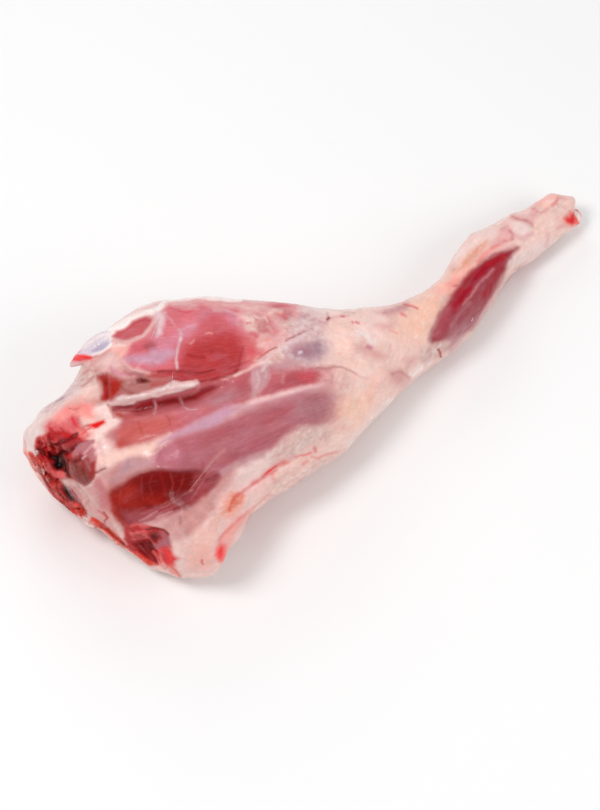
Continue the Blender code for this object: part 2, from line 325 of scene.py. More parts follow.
@dataclass(frozen=True)
class Sight:
    """The camera, and the map between points of the leg and places in its picture."""

    elevation: float = math.radians(60)
    turn: float = math.radians(-30)
    distance: float = 1.77
    target: tuple[float, float, float] = (-0.0293, 0.0032, 0.0)
    pixel: float = 0.00068
    middle: Place = (300.0, 405.0)
    picture_height: int = 810
    sensor: float = 36.0

    def axes(self) -> tuple[np.ndarray, np.ndarray, np.ndarray]:
        """Work out how the camera is turned.

        Returns:
            The directions to its right, upwards and forwards.
        """
        right = np.array([math.cos(self.turn), math.sin(self.turn), 0.0])
        level = np.array([-math.sin(self.turn), math.cos(self.turn), 0.0])
        zenith = np.array([0.0, 0.0, 1.0])
        up = level * math.sin(self.elevation) + zenith * math.cos(self.elevation)
        forward = level * math.cos(self.elevation) - zenith * math.sin(self.elevation)
        return right, up, forward

    def eye(self) -> np.ndarray:
        """Where the camera stands."""
        return np.array(self.target) - self.axes()[2] * self.distance

    def places(self, points: np.ndarray) -> np.ndarray:
        """Find where points fall in the picture.

        Args:
            points: rows of x, y and z.

        Returns:
            Rows of right and down in pixels.
        """
        right, up, forward = self.axes()
        offset = points - self.eye()
        scale = self.distance / self.pixel / (offset @ forward)
        across = self.middle[0] + (offset @ right) * scale
        down = self.middle[1] - (offset @ up) * scale
        return np.stack([across, down], 1)

    def ray(self, place: np.ndarray) -> Vector:
        """Aim from the camera through a place in the picture.

        Args:
            place: right and down in pixels.

        Returns:
            The direction, one long.
        """
        right, up, forward = self.axes()
        across = (place[0] - self.middle[0]) * self.pixel
        rise = (self.middle[1] - place[1]) * self.pixel
        return Vector(forward * self.distance + right * across + up * rise).normalized()

    def facing(self, normals: np.ndarray) -> np.ndarray:
        """How squarely normals face the camera, from -1 to 1."""
        return -(normals @ self.axes()[2])

    def add_camera(self) -> None:
        """Create the scene's camera."""
        data = bpy.data.cameras.new("camera")
        data.sensor_width = self.sensor
        data.lens = self.sensor * self.distance / (self.picture_height * self.pixel)
        camera = bpy.data.objects.new("camera", data)
        right, up, forward = (Vector(axis) for axis in self.axes())
        turn = Matrix((right, up, -forward)).transposed().to_4x4()
        camera.matrix_world = Matrix.Translation(Vector(self.eye())) @ turn
        bpy.context.scene.collection.objects.link(camera)
        bpy.context.scene.camera = camera


SIGHT = Sight()


@dataclass(frozen=True)
class Rise:
    """A rise, or a hollow where the height is negative, along a path in the picture.

    Attributes:
        height: the height in millimetres.
        width: the distance in pixels at which it has nearly gone.
        path: its points in pixels.
        power: 2 for a round ridge, more for a flat one with steep sides.
    """

    height: float
    width: float
    path: Places
    power: float = 2.0

    def heights(self, places: np.ndarray) -> np.ndarray:
        """The height at each place, in millimetres."""
        gap = line_distance(places, self.path)[0]
        return self.height * np.exp(-((gap / self.width) ** self.power))


@dataclass(frozen=True)
class Pull:
    """A soft pull of the whole depth of the leg at a place in the picture.

    Attributes:
        place: the middle of the pull in pixels.
        shift: how far it goes to the right and down, in pixels.
        width: the distance in pixels at which it has nearly gone.
    """

    place: Place
    shift: Place
    width: float

    def moves(self, places: np.ndarray) -> np.ndarray:
        """How far each place goes to the right and down, in pixels."""
        gap = np.linalg.norm(places - np.array(self.place), axis=1)
        return np.exp(-((gap / self.width) ** 2))[:, None] * np.array(self.shift)


@dataclass(frozen=True)
class Mark:
    """Colour, tissue and relief laid over a part of the picture.

    Attributes:
        hue: the mark's colour, with its tissue.
        path: an outline's corners, or a line's points where half_width is given.
        half_width: half the width of a line in pixels, or 0 for an outline.
        edge: the width of its soft edge in pixels.
        strength: how much of what lies below it hides, from 0 to 1.
        lift: how far it stands above what is round it, in millimetres.
    """

    hue: Hue
    path: Places
    half_width: float = 0.0
    edge: float = 4.0
    strength: float = 1.0
    lift: float = 0.0

    def cover(self, places: np.ndarray, unevenness: np.ndarray) -> tuple[np.ndarray, np.ndarray]:
        """Where the mark shows.

        Args:
            places: rows of right and down in pixels.
            unevenness: how far the edge is moved outwards at each place, in pixels.

        Returns:
            The numbers of the places near it, and how much of the mark shows there, from 0 to 1.
        """
        path = np.array(self.path, float)
        softness = CUT_SOFTNESS if self.hue.tissue[2] > CUT_EDGE_SHARE else PATCH_SOFTNESS
        edge = self.edge * (LINE_SOFTNESS if self.half_width else softness)
        reach = self.half_width + edge
        close = np.all((places > path.min(axis=0) - reach) & (places < path.max(axis=0) + reach), axis=1)
        near = np.flatnonzero(close)
        spots = places[near]
        if self.half_width:
            depth = self.half_width - line_distance(spots, self.path)[0]
        else:
            gap = line_distance(spots, self.path + self.path[:1])[0]
            depth = np.where(inside_outline(spots, self.path), gap, -gap)
        return near, eased(depth + WANDER * edge * unevenness[near], -edge / 2, edge / 2)


def patch(hue: Hue, *outline: Place, edge: float = 4.0, strength: float = 1.0, lift: float = 0.0) -> Mark:
    """A mark that fills an outline."""
    return Mark(hue, outline, 0.0, edge, strength, lift)


def line(
    hue: Hue, half_width: float, *path: Place, edge: float = 2.0, strength: float = 1.0, lift: float = 0.0
) -> Mark:
    """A mark along a path."""
    return Mark(hue, path, half_width, edge, strength, lift)


BASE_MARKS = (
    patch(Hue.PINK_SKIN, (104, 346), (122, 324), (150, 307), (200, 299), (300, 303), (326, 322), (318, 350),
        (300, 366), (335, 370), (346, 396), (340, 420), (306, 428), (268, 456), (238, 474), (204, 508),
        (166, 530), (130, 532), (106, 504), (104, 480), (124, 458), (104, 440), (104, 416), (100, 388),
        edge=10),
    patch(Hue.ROSE_MUSCLE, (116, 382), (150, 372), (200, 370), (262, 362), (332, 368), (334, 382), (262, 400),
        (206, 418), (160, 438), (118, 446), (112, 432), (126, 414), (110, 410), (104, 396), edge=6),
    patch(Hue.MAUVE_MUSCLE, (112, 492), (130, 474), (160, 462), (154, 450), (180, 438), (236, 418),
        (300, 394), (338, 396), (336, 420), (290, 430), (252, 458), (222, 480), (196, 506), (140, 524),
        (118, 518), edge=6),
)

BUTT_MARKS = (
    patch(Hue.COOL_WHITE, (16, 456), (22, 432), (36, 412), (52, 398), (66, 388), (80, 370), (88, 384),
        (74, 400), (58, 412), (48, 422), (42, 436), (34, 444), (34, 456), edge=8),
    line(Hue.GREY_LILAC, 4.5, (82, 380), (72, 390), (62, 398), (54, 406), (46, 411), edge=5, strength=0.9),
    line(Hue.BLUE_GREY, 1.1, (57, 401), (60, 399), (63, 397)),
    patch(Hue.GREY_BEIGE, (84, 363), (92, 363), (102, 366), (105, 373), (98, 377), (98, 384), (88, 389),
        (78, 387), (79, 376), edge=5),
    line(Hue.ROSE_SKIN, 1, (83, 386), (88, 382), (94, 377)),
    line(Hue.ROSE_SKIN, 0.9, (85, 374), (90, 370), (98, 371)),
    patch(Hue.CREAM_FAT, (80, 391), (88, 386), (98, 384), (103, 389), (102, 397), (101, 404), (92, 405),
        (86, 399), (78, 398)),
    line(Hue.BEIGE_FAT, 1.8, (99, 390), (100, 398), (98, 404), edge=3, strength=0.7),
    patch(Hue.LUMP_PINK, (50, 424), (56, 414), (64, 406), (72, 401), (82, 399), (94, 403), (97, 410),
        (94, 417), (82, 418), (70, 422), (56, 430), edge=6, lift=0.6),
    patch(Hue.LUMP_RED, (43, 426), (48, 421), (58, 424), (68, 421), (75, 425), (79, 432), (74, 438),
        (62, 438), (52, 436), (45, 432), edge=5, lift=0.4),
    patch(Hue.ROSE_RED, (68, 420), (72, 416), (79, 417), (83, 424), (83, 432), (85, 440), (80, 444),
        (76, 438), (72, 431), edge=3, strength=0.85),
    line(Hue.CUT_PINK, 2.2, (57, 431), (62, 436), (67, 437), edge=3, lift=0.6),
    line(Hue.CUT_PINK, 1.8, (66, 426), (70, 431), (72, 435), edge=3, strength=0.7, lift=0.6),
    line(Hue.CUT_RED, 1.1, (50, 428), (54, 433), (56, 439), lift=-0.6),
    line(Hue.CUT_RED, 1.1, (61, 429), (64, 434), (68, 438), lift=-0.6),
    line(Hue.CUT_RED, 0.9, (70, 409), (75, 410), (79, 408), strength=0.5),
    patch(Hue.PINK_WHITE, (98, 406), (106, 402), (110, 408), (113, 416), (122, 420), (120, 428), (108, 432),
        (106, 440), (112, 450), (108, 466), (98, 470), (96, 452), (93, 440), (96, 430), (104, 424),
        (100, 416), (94, 412)),
    line(Hue.PINK_SKIN, 4, (98, 444), (99, 456), (101, 466), edge=5, strength=0.8),
    line(Hue.BLOOD, 1.2, (72, 419), (76, 425), (80, 431), (81, 438), (80, 443), edge=3, strength=0.85),
    patch(Hue.DEEP_BLOOD, (80, 428), (88, 424), (94, 424), (92, 430), (86, 433), (81, 433), edge=1.5,
        strength=0.85),
    patch(Hue.BLOOD, (89, 425), (96, 421), (103, 419), (105, 423), (98, 428), (92, 430), edge=1.6),
    # A painted highlight: a pale glint on the dark blood
    line(Hue.PINK_WHITE, 0.7, (86, 428), (90, 427), (93, 428), edge=1.5, strength=0.8),
    patch(Hue.CARTILAGE, (72, 357), (80, 349), (90, 342), (100, 336), (109, 334), (114, 339), (112, 347),
        (104, 352), (94, 356), (84, 359), edge=1.5, lift=0.5),
    patch(Hue.DARK_CARTILAGE, (93, 351), (99, 345), (106, 341), (110, 343), (106, 348), (98, 352), edge=2,
        strength=0.7, lift=-0.6),
    line(Hue.WHITE_FAT, 1.2, (86, 357), (98, 353), (107, 349), (113, 342), (110, 336), lift=0.5),
    line(Hue.ROSE_RED, 1, (84, 360), (92, 358), (102, 355), (111, 350), edge=2.5, strength=0.7, lift=-0.5),
    line(Hue.BRIGHT_RED, 2.6, (76, 357), (84, 357), (90, 358), edge=3),
    patch(Hue.LUMP_PINK, (76, 430), (84, 427), (92, 429), (93, 436), (86, 440), (78, 438), strength=0.8),
    line(Hue.BLOOD, 1, (82, 434), (90, 428), (100, 422), edge=3, strength=0.75),
    line(Hue.ROSE_RED, 1.2, (74, 437), (82, 438), (88, 435), edge=3, strength=0.7),
    # A painted highlight: a short white glint on the red
    line(Hue.WHITE_FAT, 0.7, (88, 431), (92, 430), strength=0.7),
)

RUMP_MARKS = (
    patch(Hue.WHITE_FAT, (96, 336), (110, 321), (124, 312), (140, 305), (156, 301), (172, 298), (172, 305),
        (160, 312), (150, 313), (136, 315), (124, 323), (112, 333), (104, 340)),
    patch(Hue.PINK_MUSCLE, (124, 358), (128, 345), (136, 340), (146, 334), (152, 328), (156, 320), (160, 312),
        (168, 303), (182, 301), (205, 299), (235, 301), (262, 303), (282, 301), (300, 306), (310, 316),
        (322, 326), (308, 334), (292, 346), (276, 358), (260, 367), (245, 373), (218, 378), (176, 378),
        (150, 375), (132, 368)),
    line(Hue.PINK_SKIN, 2, (98, 334), (108, 326), (121, 318), (134, 312), (148, 307), (160, 303), edge=3,
        strength=0.8),
    line(Hue.WHITE_FAT, 2.2, (113, 333), (122, 326), (134, 319), (148, 313), (158, 311), (162, 305), edge=3,
        lift=0.7),
    patch(Hue.PALE_SALMON, (108, 352), (114, 345), (122, 341), (130, 344), (128, 352), (122, 358), (112, 358),
        strength=0.8),
    patch(Hue.RED_ROSE, (112, 337), (116, 331), (124, 328), (132, 322), (140, 319), (146, 316), (153, 317),
        (153, 322), (149, 328), (144, 333), (136, 338), (126, 340), (117, 340), edge=2.2, lift=-0.8),
    line(Hue.PINK_SKIN, 1.6, (113, 341), (126, 342), (134, 340), (142, 336), (148, 330), (154, 322), edge=2.5,
        lift=0.5),
    # A painted highlight: a short pale glint below the rim
    line(Hue.PINK_WHITE, 0.9, (114, 347), (119, 344), (125, 345)),
    patch(Hue.RED_ROSE, (130, 354), (134, 346), (146, 343), (155, 348), (150, 353), (140, 355),
        strength=0.55),
    patch(Hue.RED_MAUVE, (143, 347), (150, 340), (156, 344), (159, 350), (150, 352), edge=3),
    # A painted sheen: a lavender band of reflected light across the rump's muscle
    patch(Hue.LAVENDER, (124, 361), (126, 357), (138, 356), (148, 354), (153, 350), (164, 349), (177, 350),
        (175, 356), (166, 361), (158, 364), (146, 365), (134, 363)),
    patch(Hue.LAVENDER_PINK, (151, 334), (160, 336), (164, 340), (172, 336), (178, 330), (179, 342),
        (174, 350), (160, 349), (154, 343), edge=6, strength=0.8),
    patch(Hue.FILM_WHITE, (155, 312), (165, 313), (164, 324), (162, 334), (157, 337), (156, 324), edge=3.5,
        strength=0.85, lift=0.3),
    patch(Hue.PINK_SKIN, (170, 302), (190, 300), (200, 303), (197, 309), (186, 308), (172, 307),
        strength=0.7),
    patch(Hue.PINK_SKIN, (202, 302), (232, 302), (262, 305), (270, 309), (250, 314), (236, 308), (214, 307)),
    patch(Hue.LAVENDER_PINK, (177, 330), (184, 325), (196, 321), (202, 313), (212, 308), (228, 309),
        (240, 316), (240, 326), (232, 327), (226, 315), (212, 312), (202, 320), (196, 332), (186, 339),
        (180, 337), strength=0.75),
    patch(Hue.RED_ROSE, (197, 331), (201, 319), (212, 313), (223, 316), (227, 326), (222, 333), (206, 335),
        edge=6, strength=0.7),
    line(Hue.ROSE_RED, 0.8, (170, 308), (178, 310), (186, 313), (192, 312), strength=0.75),
    patch(Hue.RED_MUSCLE, (179, 371), (179, 357), (186, 344), (196, 338), (210, 334), (222, 329), (235, 331),
        (243, 338), (246, 350), (246, 360), (241, 368), (232, 374), (212, 375), (194, 374), edge=10),
    patch(Hue.SALMON_MUSCLE, (244, 340), (256, 338), (262, 348), (258, 358), (250, 366), (243, 368),
        (247, 356), strength=0.75),
    line(Hue.DARK_RED, 1.2, (188, 355), (196, 357), (204, 357), edge=3, strength=0.7),
    line(Hue.DARK_RED, 1, (180, 366), (192, 367), (200, 366), edge=3, strength=0.4),
    line(Hue.DARK_RED, 1, (206, 349), (216, 352), (224, 350), edge=3, strength=0.4),
    line(Hue.DARK_RED, 0.9, (235, 371), (239, 364), (241, 354), (244, 348), strength=0.5),
    patch(Hue.ROSE_RED, (247, 347), (253, 347), (256, 353), (252, 357), (247, 354), edge=3, strength=0.6),
    # Painted highlights: two short pale glints on the round red muscle
    line(Hue.PALE_SALMON, 0.7, (206, 334), (209, 333), (212, 334), edge=2.5, strength=0.6, lift=0.3),
    line(Hue.PALE_SALMON, 0.6, (190, 344), (194, 341), edge=2.2, strength=0.55, lift=0.3),
    line(Hue.FILM_PINK, 1.5, (179, 329), (181, 334), (180, 341), edge=3, strength=0.8, lift=0.4),
    line(Hue.FILM_WHITE, 0.9, (180, 338), (178, 348), (176, 360), (177, 369), strength=0.8, lift=0.4),
    line(Hue.FILM_PINK, 0.8, (181, 330), (188, 326), (196, 325), edge=3, strength=0.5),
    line(Hue.FILM_PINK, 0.9, (165, 316), (171, 320), (175, 325), edge=2.5, strength=0.7),
    line(Hue.FILM_PINK, 0.7, (154, 331), (158, 336), (164, 338), edge=2.5, strength=0.5),
    line(Hue.WHITE_FAT, 1.8, (162, 300), (176, 298), (200, 297), (222, 299), (240, 301), edge=3,
        strength=0.8),
    patch(Hue.PINK_SKIN, (240, 314), (256, 313), (268, 309), (292, 309), (300, 318), (312, 330), (296, 342),
        (280, 352), (262, 350), (256, 340), (246, 333), (240, 325), edge=6, strength=0.85),
    patch(Hue.BEIGE_FAT, (242, 315), (249, 314), (258, 317), (263, 322), (261, 330), (253, 332), (246, 328),
        edge=3, lift=0.5),
    line(Hue.RED_ROSE, 1, (246, 324), (250, 323), (253, 327), edge=2.5, strength=0.7, lift=-0.5),
    line(Hue.RED_ROSE, 1.5, (256, 320), (260, 322), (258, 327), edge=2.5, strength=0.7),
    patch(Hue.PINK_MUSCLE, (263, 318), (270, 315), (273, 325), (279, 332), (273, 337), (266, 331), (262, 326),
        edge=3, strength=0.85, lift=-0.4),
    patch(Hue.RED_ROSE, (270, 304), (282, 303), (290, 306), (276, 310), edge=3, strength=0.7),
    patch(Hue.DUSTY_FAT, (267, 310), (276, 311), (280, 317), (276, 322), (269, 317), edge=3, lift=0.5),
    patch(Hue.ROSE_MUSCLE, (277, 312), (284, 310), (291, 312), (291, 320), (285, 323), (280, 317), edge=3,
        strength=0.85),
    line(Hue.CUT_PINK, 1.2, (277, 312), (283, 314), (288, 318), edge=2.5, strength=0.7),
    line(Hue.CREAM_FAT, 1.3, (270, 313), (275, 310), (281, 312), edge=3.5, strength=0.75, lift=0.5),
    line(Hue.CREAM_FAT, 1.3, (247, 318), (253, 320), (252, 326), edge=3.5, strength=0.8, lift=0.5),
    line(Hue.PALE_PINK, 1.2, (255, 316), (260, 320), (264, 317), (267, 322), lift=0.5),
    line(Hue.CREAM_FAT, 1, (262, 330), (268, 327), (272, 331), strength=0.8, lift=0.4),
    line(Hue.PALE_PINK, 1.1, (286, 326), (292, 322), (299, 324), edge=2.5, strength=0.8, lift=0.4),
    patch(Hue.BEIGE_FAT, (281, 324), (290, 320), (300, 322), (296, 329), (286, 332), lift=0.4),
    line(Hue.PINK_SKIN, 1.2, (214, 309), (226, 310), (236, 314), (244, 318), edge=3, strength=0.7),
    line(Hue.RED_ROSE, 2.6, (251, 333), (256, 336), edge=3, strength=0.7),
    line(Hue.DUSTY_FAT, 2.8, (262, 340), (272, 335), (280, 334), edge=4, strength=0.6),
    line(Hue.STAIN, 1.6, (268, 340), (271, 340)),
    patch(Hue.ROSE_SKIN, (254, 322), (262, 318), (272, 322), (276, 330), (266, 334), (256, 330),
        strength=0.7),
    patch(Hue.BEIGE_FAT, (256, 362), (264, 353), (274, 346), (284, 342), (287, 350), (284, 360), (272, 365),
        (262, 369), strength=0.85),
    line(Hue.PINK_SKIN, 1.8, (260, 346), (270, 342), (280, 337), edge=3),
    line(Hue.ROSE_MUSCLE, 2.2, (259, 331), (265, 330), edge=4, strength=0.7),
)

LEDGE_MARKS = (
    patch(Hue.DUSTY_FAT, (88, 362), (98, 356), (108, 352), (118, 355), (123, 362), (130, 369), (148, 374),
        (140, 380), (118, 380), (106, 376), (92, 368)),
    patch(Hue.PALE_PINK, (98, 364), (104, 357), (112, 354), (120, 358), (122, 366), (114, 369), (104, 366),
        strength=0.8),
    line(Hue.ROSE_MUSCLE, 2, (126, 366), (134, 371), (144, 373), edge=4, strength=0.6),
    patch(Hue.BROWN_ROSE, (114, 385), (121, 378), (132, 374), (148, 373), (162, 376), (170, 379), (166, 385),
        (152, 389), (140, 394), (128, 396), (118, 391)),
    line(Hue.PINK_SKIN, 1.5, (121, 361), (127, 366), (133, 370), (141, 372), (149, 374), edge=2.5, lift=0.6),
    line(Hue.ROSE_SKIN, 1.8, (111, 372), (116, 376), (122, 378), (130, 379), (136, 378), edge=2.5, lift=0.3),
    line(Hue.PINK_SKIN, 2.4, (104, 369), (108, 372)),
    line(Hue.LAVENDER_PINK, 1.5, (111, 368), (118, 374), (125, 374), edge=3, strength=0.8),
    line(Hue.BROWN_ROSE, 1.6, (124, 371), (134, 375), (144, 375), strength=0.7),
    line(Hue.DARK_RED, 0.9, (119, 385), (125, 390), (133, 393), strength=0.5, lift=-0.5),
    patch(Hue.RED_MUSCLE, (146, 375), (160, 371), (176, 370), (200, 371), (220, 373), (238, 370), (246, 368),
        (236, 375), (218, 381), (205, 384), (190, 382), (176, 382), (162, 385), (150, 386), (152, 380),
        edge=3, strength=0.9),
    line(Hue.BROWN_ROSE, 2, (152, 380), (162, 381), (170, 380), edge=4, strength=0.7),
    line(Hue.WINE, 0.9, (158, 372), (166, 371), (172, 371), strength=0.6),
    line(Hue.WINE, 0.9, (176, 371), (190, 373), (202, 373), (214, 371), strength=0.6),
    line(Hue.WINE, 1, (200, 382), (212, 380), (222, 377), (232, 375), (238, 369), strength=0.55),
    line(Hue.DARK_RED, 1.1, (172, 380), (184, 379), (194, 381), strength=0.4),
    patch(Hue.WINE, (137, 380), (141, 378), (146, 379), (151, 382), (143, 383), (138, 383), edge=1.6,
        lift=-1.6),
    patch(Hue.BRICK, (98, 377), (107, 373), (113, 378), (122, 381), (120, 390), (116, 394), (110, 400),
        (102, 400), (103, 393), (102, 386), edge=3, lift=-1.4),
    line(Hue.RED_MUSCLE, 2.6, (100, 378), (107, 376), (114, 380), edge=4, strength=0.7),
    line(Hue.WINE, 1.8, (106, 384), (106, 392), (105, 398), edge=4, strength=0.6),
    line(Hue.CUT_RED, 2, (103, 398), (105, 394), (106, 388), edge=3, strength=0.6),
    patch(Hue.STRIP, (103, 405), (112, 401), (116, 396), (122, 394), (129, 395), (138, 394), (150, 390),
        (160, 387), (168, 384), (173, 381), (181, 382), (190, 381), (197, 380), (200, 384), (195, 388),
        (183, 391), (172, 394), (158, 397), (146, 399), (138, 401), (134, 405), (126, 407), (118, 406),
        edge=1.6, lift=1.5),
    line(Hue.WHITE_FAT, 1, (118, 398), (128, 398), (140, 396), (152, 393), (164, 389), edge=3, strength=0.35,
        lift=0.4),
    line(Hue.ROSE_SKIN, 1.2, (116, 404), (126, 403), (138, 399), (150, 396), edge=3, strength=0.45,
        lift=-0.3),
    line(Hue.ROSE_SKIN, 0.8, (146, 393), (154, 391), (160, 392), edge=2.5, strength=0.5),
    line(Hue.PINK_SKIN, 0.9, (176, 384), (184, 384), (192, 382), edge=2.5, strength=0.6),
    line(Hue.WHITE_FAT, 1.1, (170, 389), (180, 386), (194, 385), edge=3, strength=0.6, lift=0.4),
    line(Hue.PINK_SKIN, 1.1, (158, 395), (168, 391), (178, 388), strength=0.8, lift=-0.5),
    line(Hue.PINK_SKIN, 2, (196, 381), (198, 386), edge=3, strength=0.7),
    line(Hue.PINK_SKIN, 0.9, (222, 380), (232, 376), (242, 372), edge=4, strength=0.7, lift=0.3),
    line(Hue.CREAM_FAT, 1.4, (236, 375), (246, 371), (256, 366), (266, 360), edge=4, strength=0.8, lift=0.4),
    patch(Hue.DARK_RED, (110, 408), (120, 406), (134, 406), (142, 402), (152, 399), (160, 400), (172, 398),
        (184, 396), (196, 393), (204, 389), (212, 386), (219, 387), (213, 391), (204, 396), (196, 400),
        (186, 403), (172, 406), (158, 408), (148, 412), (138, 414), (130, 411), (112, 412), edge=2.5,
        lift=-1.3),
    line(Hue.RED_MAUVE, 2.2, (113, 408), (124, 409), (134, 407), edge=3, strength=0.7),
    line(Hue.WINE, 1.8, (160, 404), (172, 401), (184, 400), (194, 397), edge=4, strength=0.75),
    line(Hue.WINE, 1.6, (137, 410), (146, 408), (154, 405), edge=3, strength=0.7),
    line(Hue.ROSE_SKIN, 0.7, (184, 396), (192, 394), (199, 390), edge=3, strength=0.5),
    patch(Hue.RUST, (112, 412), (120, 412), (126, 416), (128, 421), (120, 419), (114, 417), edge=3),
    line(Hue.ROSE_SKIN, 1, (107, 405), (111, 412), (113, 418)),
    line(Hue.ROSE_MUSCLE, 1.5, (126, 374), (132, 376), (140, 376), edge=3, strength=0.6),
)

MIDDLE_MARKS = (
    patch(Hue.ROSE_MUSCLE, (118, 449), (116, 441), (110, 438), (105, 436), (110, 432), (118, 428), (125, 421),
        (128, 416), (140, 414), (150, 413), (175, 408), (200, 402), (214, 394), (222, 388), (219, 382),
        (228, 379), (240, 377), (250, 372), (262, 368), (278, 371), (290, 368), (305, 367), (320, 369),
        (331, 372), (331, 377), (326, 382), (300, 388), (280, 391), (262, 397), (250, 400), (235, 404),
        (220, 409), (205, 418), (190, 425), (175, 431), (162, 436), (150, 441), (135, 445)),
    patch(Hue.WARM_MUSCLE, (117, 447), (119, 432), (130, 419), (150, 416), (170, 417), (172, 430), (150, 440),
        (130, 445), edge=10),
    patch(Hue.RUST, (117, 441), (123, 438), (127, 442), (123, 448), (118, 449), edge=3),
    patch(Hue.ROSE_SKIN, (104, 435), (112, 432), (117, 436), (112, 440), (106, 439), strength=0.8),
    line(Hue.RED_MUSCLE, 0.8, (138, 421), (140, 430), (143, 438), strength=0.5),
    line(Hue.DARK_RED, 0.6, (166, 415), (168, 420), (169, 425), strength=0.5),
    patch(Hue.GREY_MAUVE, (204, 402), (220, 392), (236, 387), (250, 386), (249, 396), (234, 402), (218, 408),
        edge=6, strength=0.8),
    patch(Hue.RED_MAUVE, (226, 382), (240, 378), (250, 374), (251, 390), (242, 396), (236, 388),
        strength=0.7),
    patch(Hue.RED_MAUVE, (260, 396), (272, 386), (288, 374), (298, 368), (318, 370), (322, 380), (300, 387),
        (280, 391), edge=6, strength=0.8),
    patch(Hue.RED_ROSE, (298, 370), (312, 369), (318, 375), (308, 382), (298, 380), edge=6),
    patch(Hue.PINK_SKIN, (317, 369), (332, 371), (333, 379), (318, 384), (321, 376), edge=6, strength=0.7),
    line(Hue.DARK_RED, 0.8, (250, 372), (251, 382), (251, 393), strength=0.6),
    patch(Hue.DUSTY_MAUVE, (251, 371), (258, 367), (264, 365), (269, 368), (270, 378), (268, 384), (262, 388),
        (259, 392), (257, 398), (251, 401), (252, 388), (251, 380), edge=3, lift=0.3),
    line(Hue.FILM_PINK, 1, (269, 369), (270, 376), (268, 384), (260, 390), edge=3, strength=0.4),
    line(Hue.ROSE_SKIN, 1.5, (273, 372), (284, 373), (283, 382), edge=3, strength=0.6),
    line(Hue.FILM_WHITE, 0.8, (257, 373), (259, 380), (256, 388), strength=0.4),
    line(Hue.FILM_WHITE, 0.8, (263, 369), (266, 373), (265, 378), strength=0.4),
    patch(Hue.PEACH_CREAM, (98, 458), (110, 450), (120, 450), (136, 446), (150, 442), (160, 438), (170, 435),
        (163, 444), (156, 452), (146, 456), (130, 457), (116, 461), (104, 468)),
    # A painted sheen: a lavender band of reflected light along the top of the mauve muscle
    patch(Hue.LAVENDER, (158, 443), (172, 434), (186, 427), (200, 420), (216, 412), (232, 406), (244, 407),
        (228, 418), (216, 427), (200, 431), (184, 435), (170, 440)),
    patch(Hue.FILM_PINK, (232, 408), (248, 401), (262, 398), (280, 392), (300, 388), (316, 384), (328, 382),
        (326, 386), (306, 391), (290, 396), (270, 401), (255, 407), (242, 412), edge=3, lift=0.5),
    line(Hue.PALE_PINK, 1.3, (248, 403), (264, 398), (282, 394), (304, 388), (322, 385), edge=5,
        strength=0.8),
    line(Hue.FILM_PINK, 1, (154, 400), (156, 406), (154, 413), edge=3.5, strength=0.5, lift=0.3),
    line(Hue.FILM_PINK, 0.9, (180, 398), (183, 406), (188, 409), (197, 409), edge=3.5, strength=0.45,
        lift=0.3),
    patch(Hue.MAUVE_MUSCLE, (156, 450), (165, 443), (180, 437), (200, 432), (218, 426), (230, 420),
        (245, 412), (260, 407), (275, 402), (290, 399), (305, 395), (318, 391), (328, 390), (335, 392),
        (339, 399), (340, 408), (337, 417), (330, 421), (318, 422), (305, 423), (296, 427), (288, 433),
        (280, 441), (270, 449), (260, 452), (250, 454), (240, 458), (230, 464), (221, 472), (210, 474),
        (200, 470), (180, 468), (165, 467), (154, 466), (150, 459), edge=5),
    patch(Hue.DUSTY_FAT, (322, 388), (336, 390), (345, 400), (344, 414), (336, 424), (322, 422), (330, 408),
        edge=9, strength=0.8),
    patch(Hue.GREY_MAUVE, (298, 398), (320, 393), (332, 396), (334, 412), (318, 420), (298, 420), (290, 410),
        edge=10, strength=0.9),
    line(Hue.RED_MAUVE, 4, (208, 440), (222, 432), (238, 425), edge=9, strength=0.55),
    line(Hue.RED_MAUVE, 5, (266, 424), (276, 414), (290, 407), edge=9, strength=0.55),
    line(Hue.RED_MAUVE, 4, (228, 462), (246, 453), (262, 444), edge=8, strength=0.5),
    patch(Hue.LAVENDER_PINK, (152, 462), (158, 451), (172, 446), (184, 450), (182, 462), (166, 466), edge=6,
        strength=0.4),
    line(Hue.ROSE_SKIN, 1.4, (205, 470), (214, 459), (224, 450), edge=3, strength=0.6),
    line(Hue.DUSTY_MAUVE, 3, (224, 472), (236, 465), (248, 459), (262, 455), edge=6, strength=0.85),
    line(Hue.DARK_RED, 0.9, (202, 461), (203, 468), (201, 474), edge=3, strength=0.35),
)

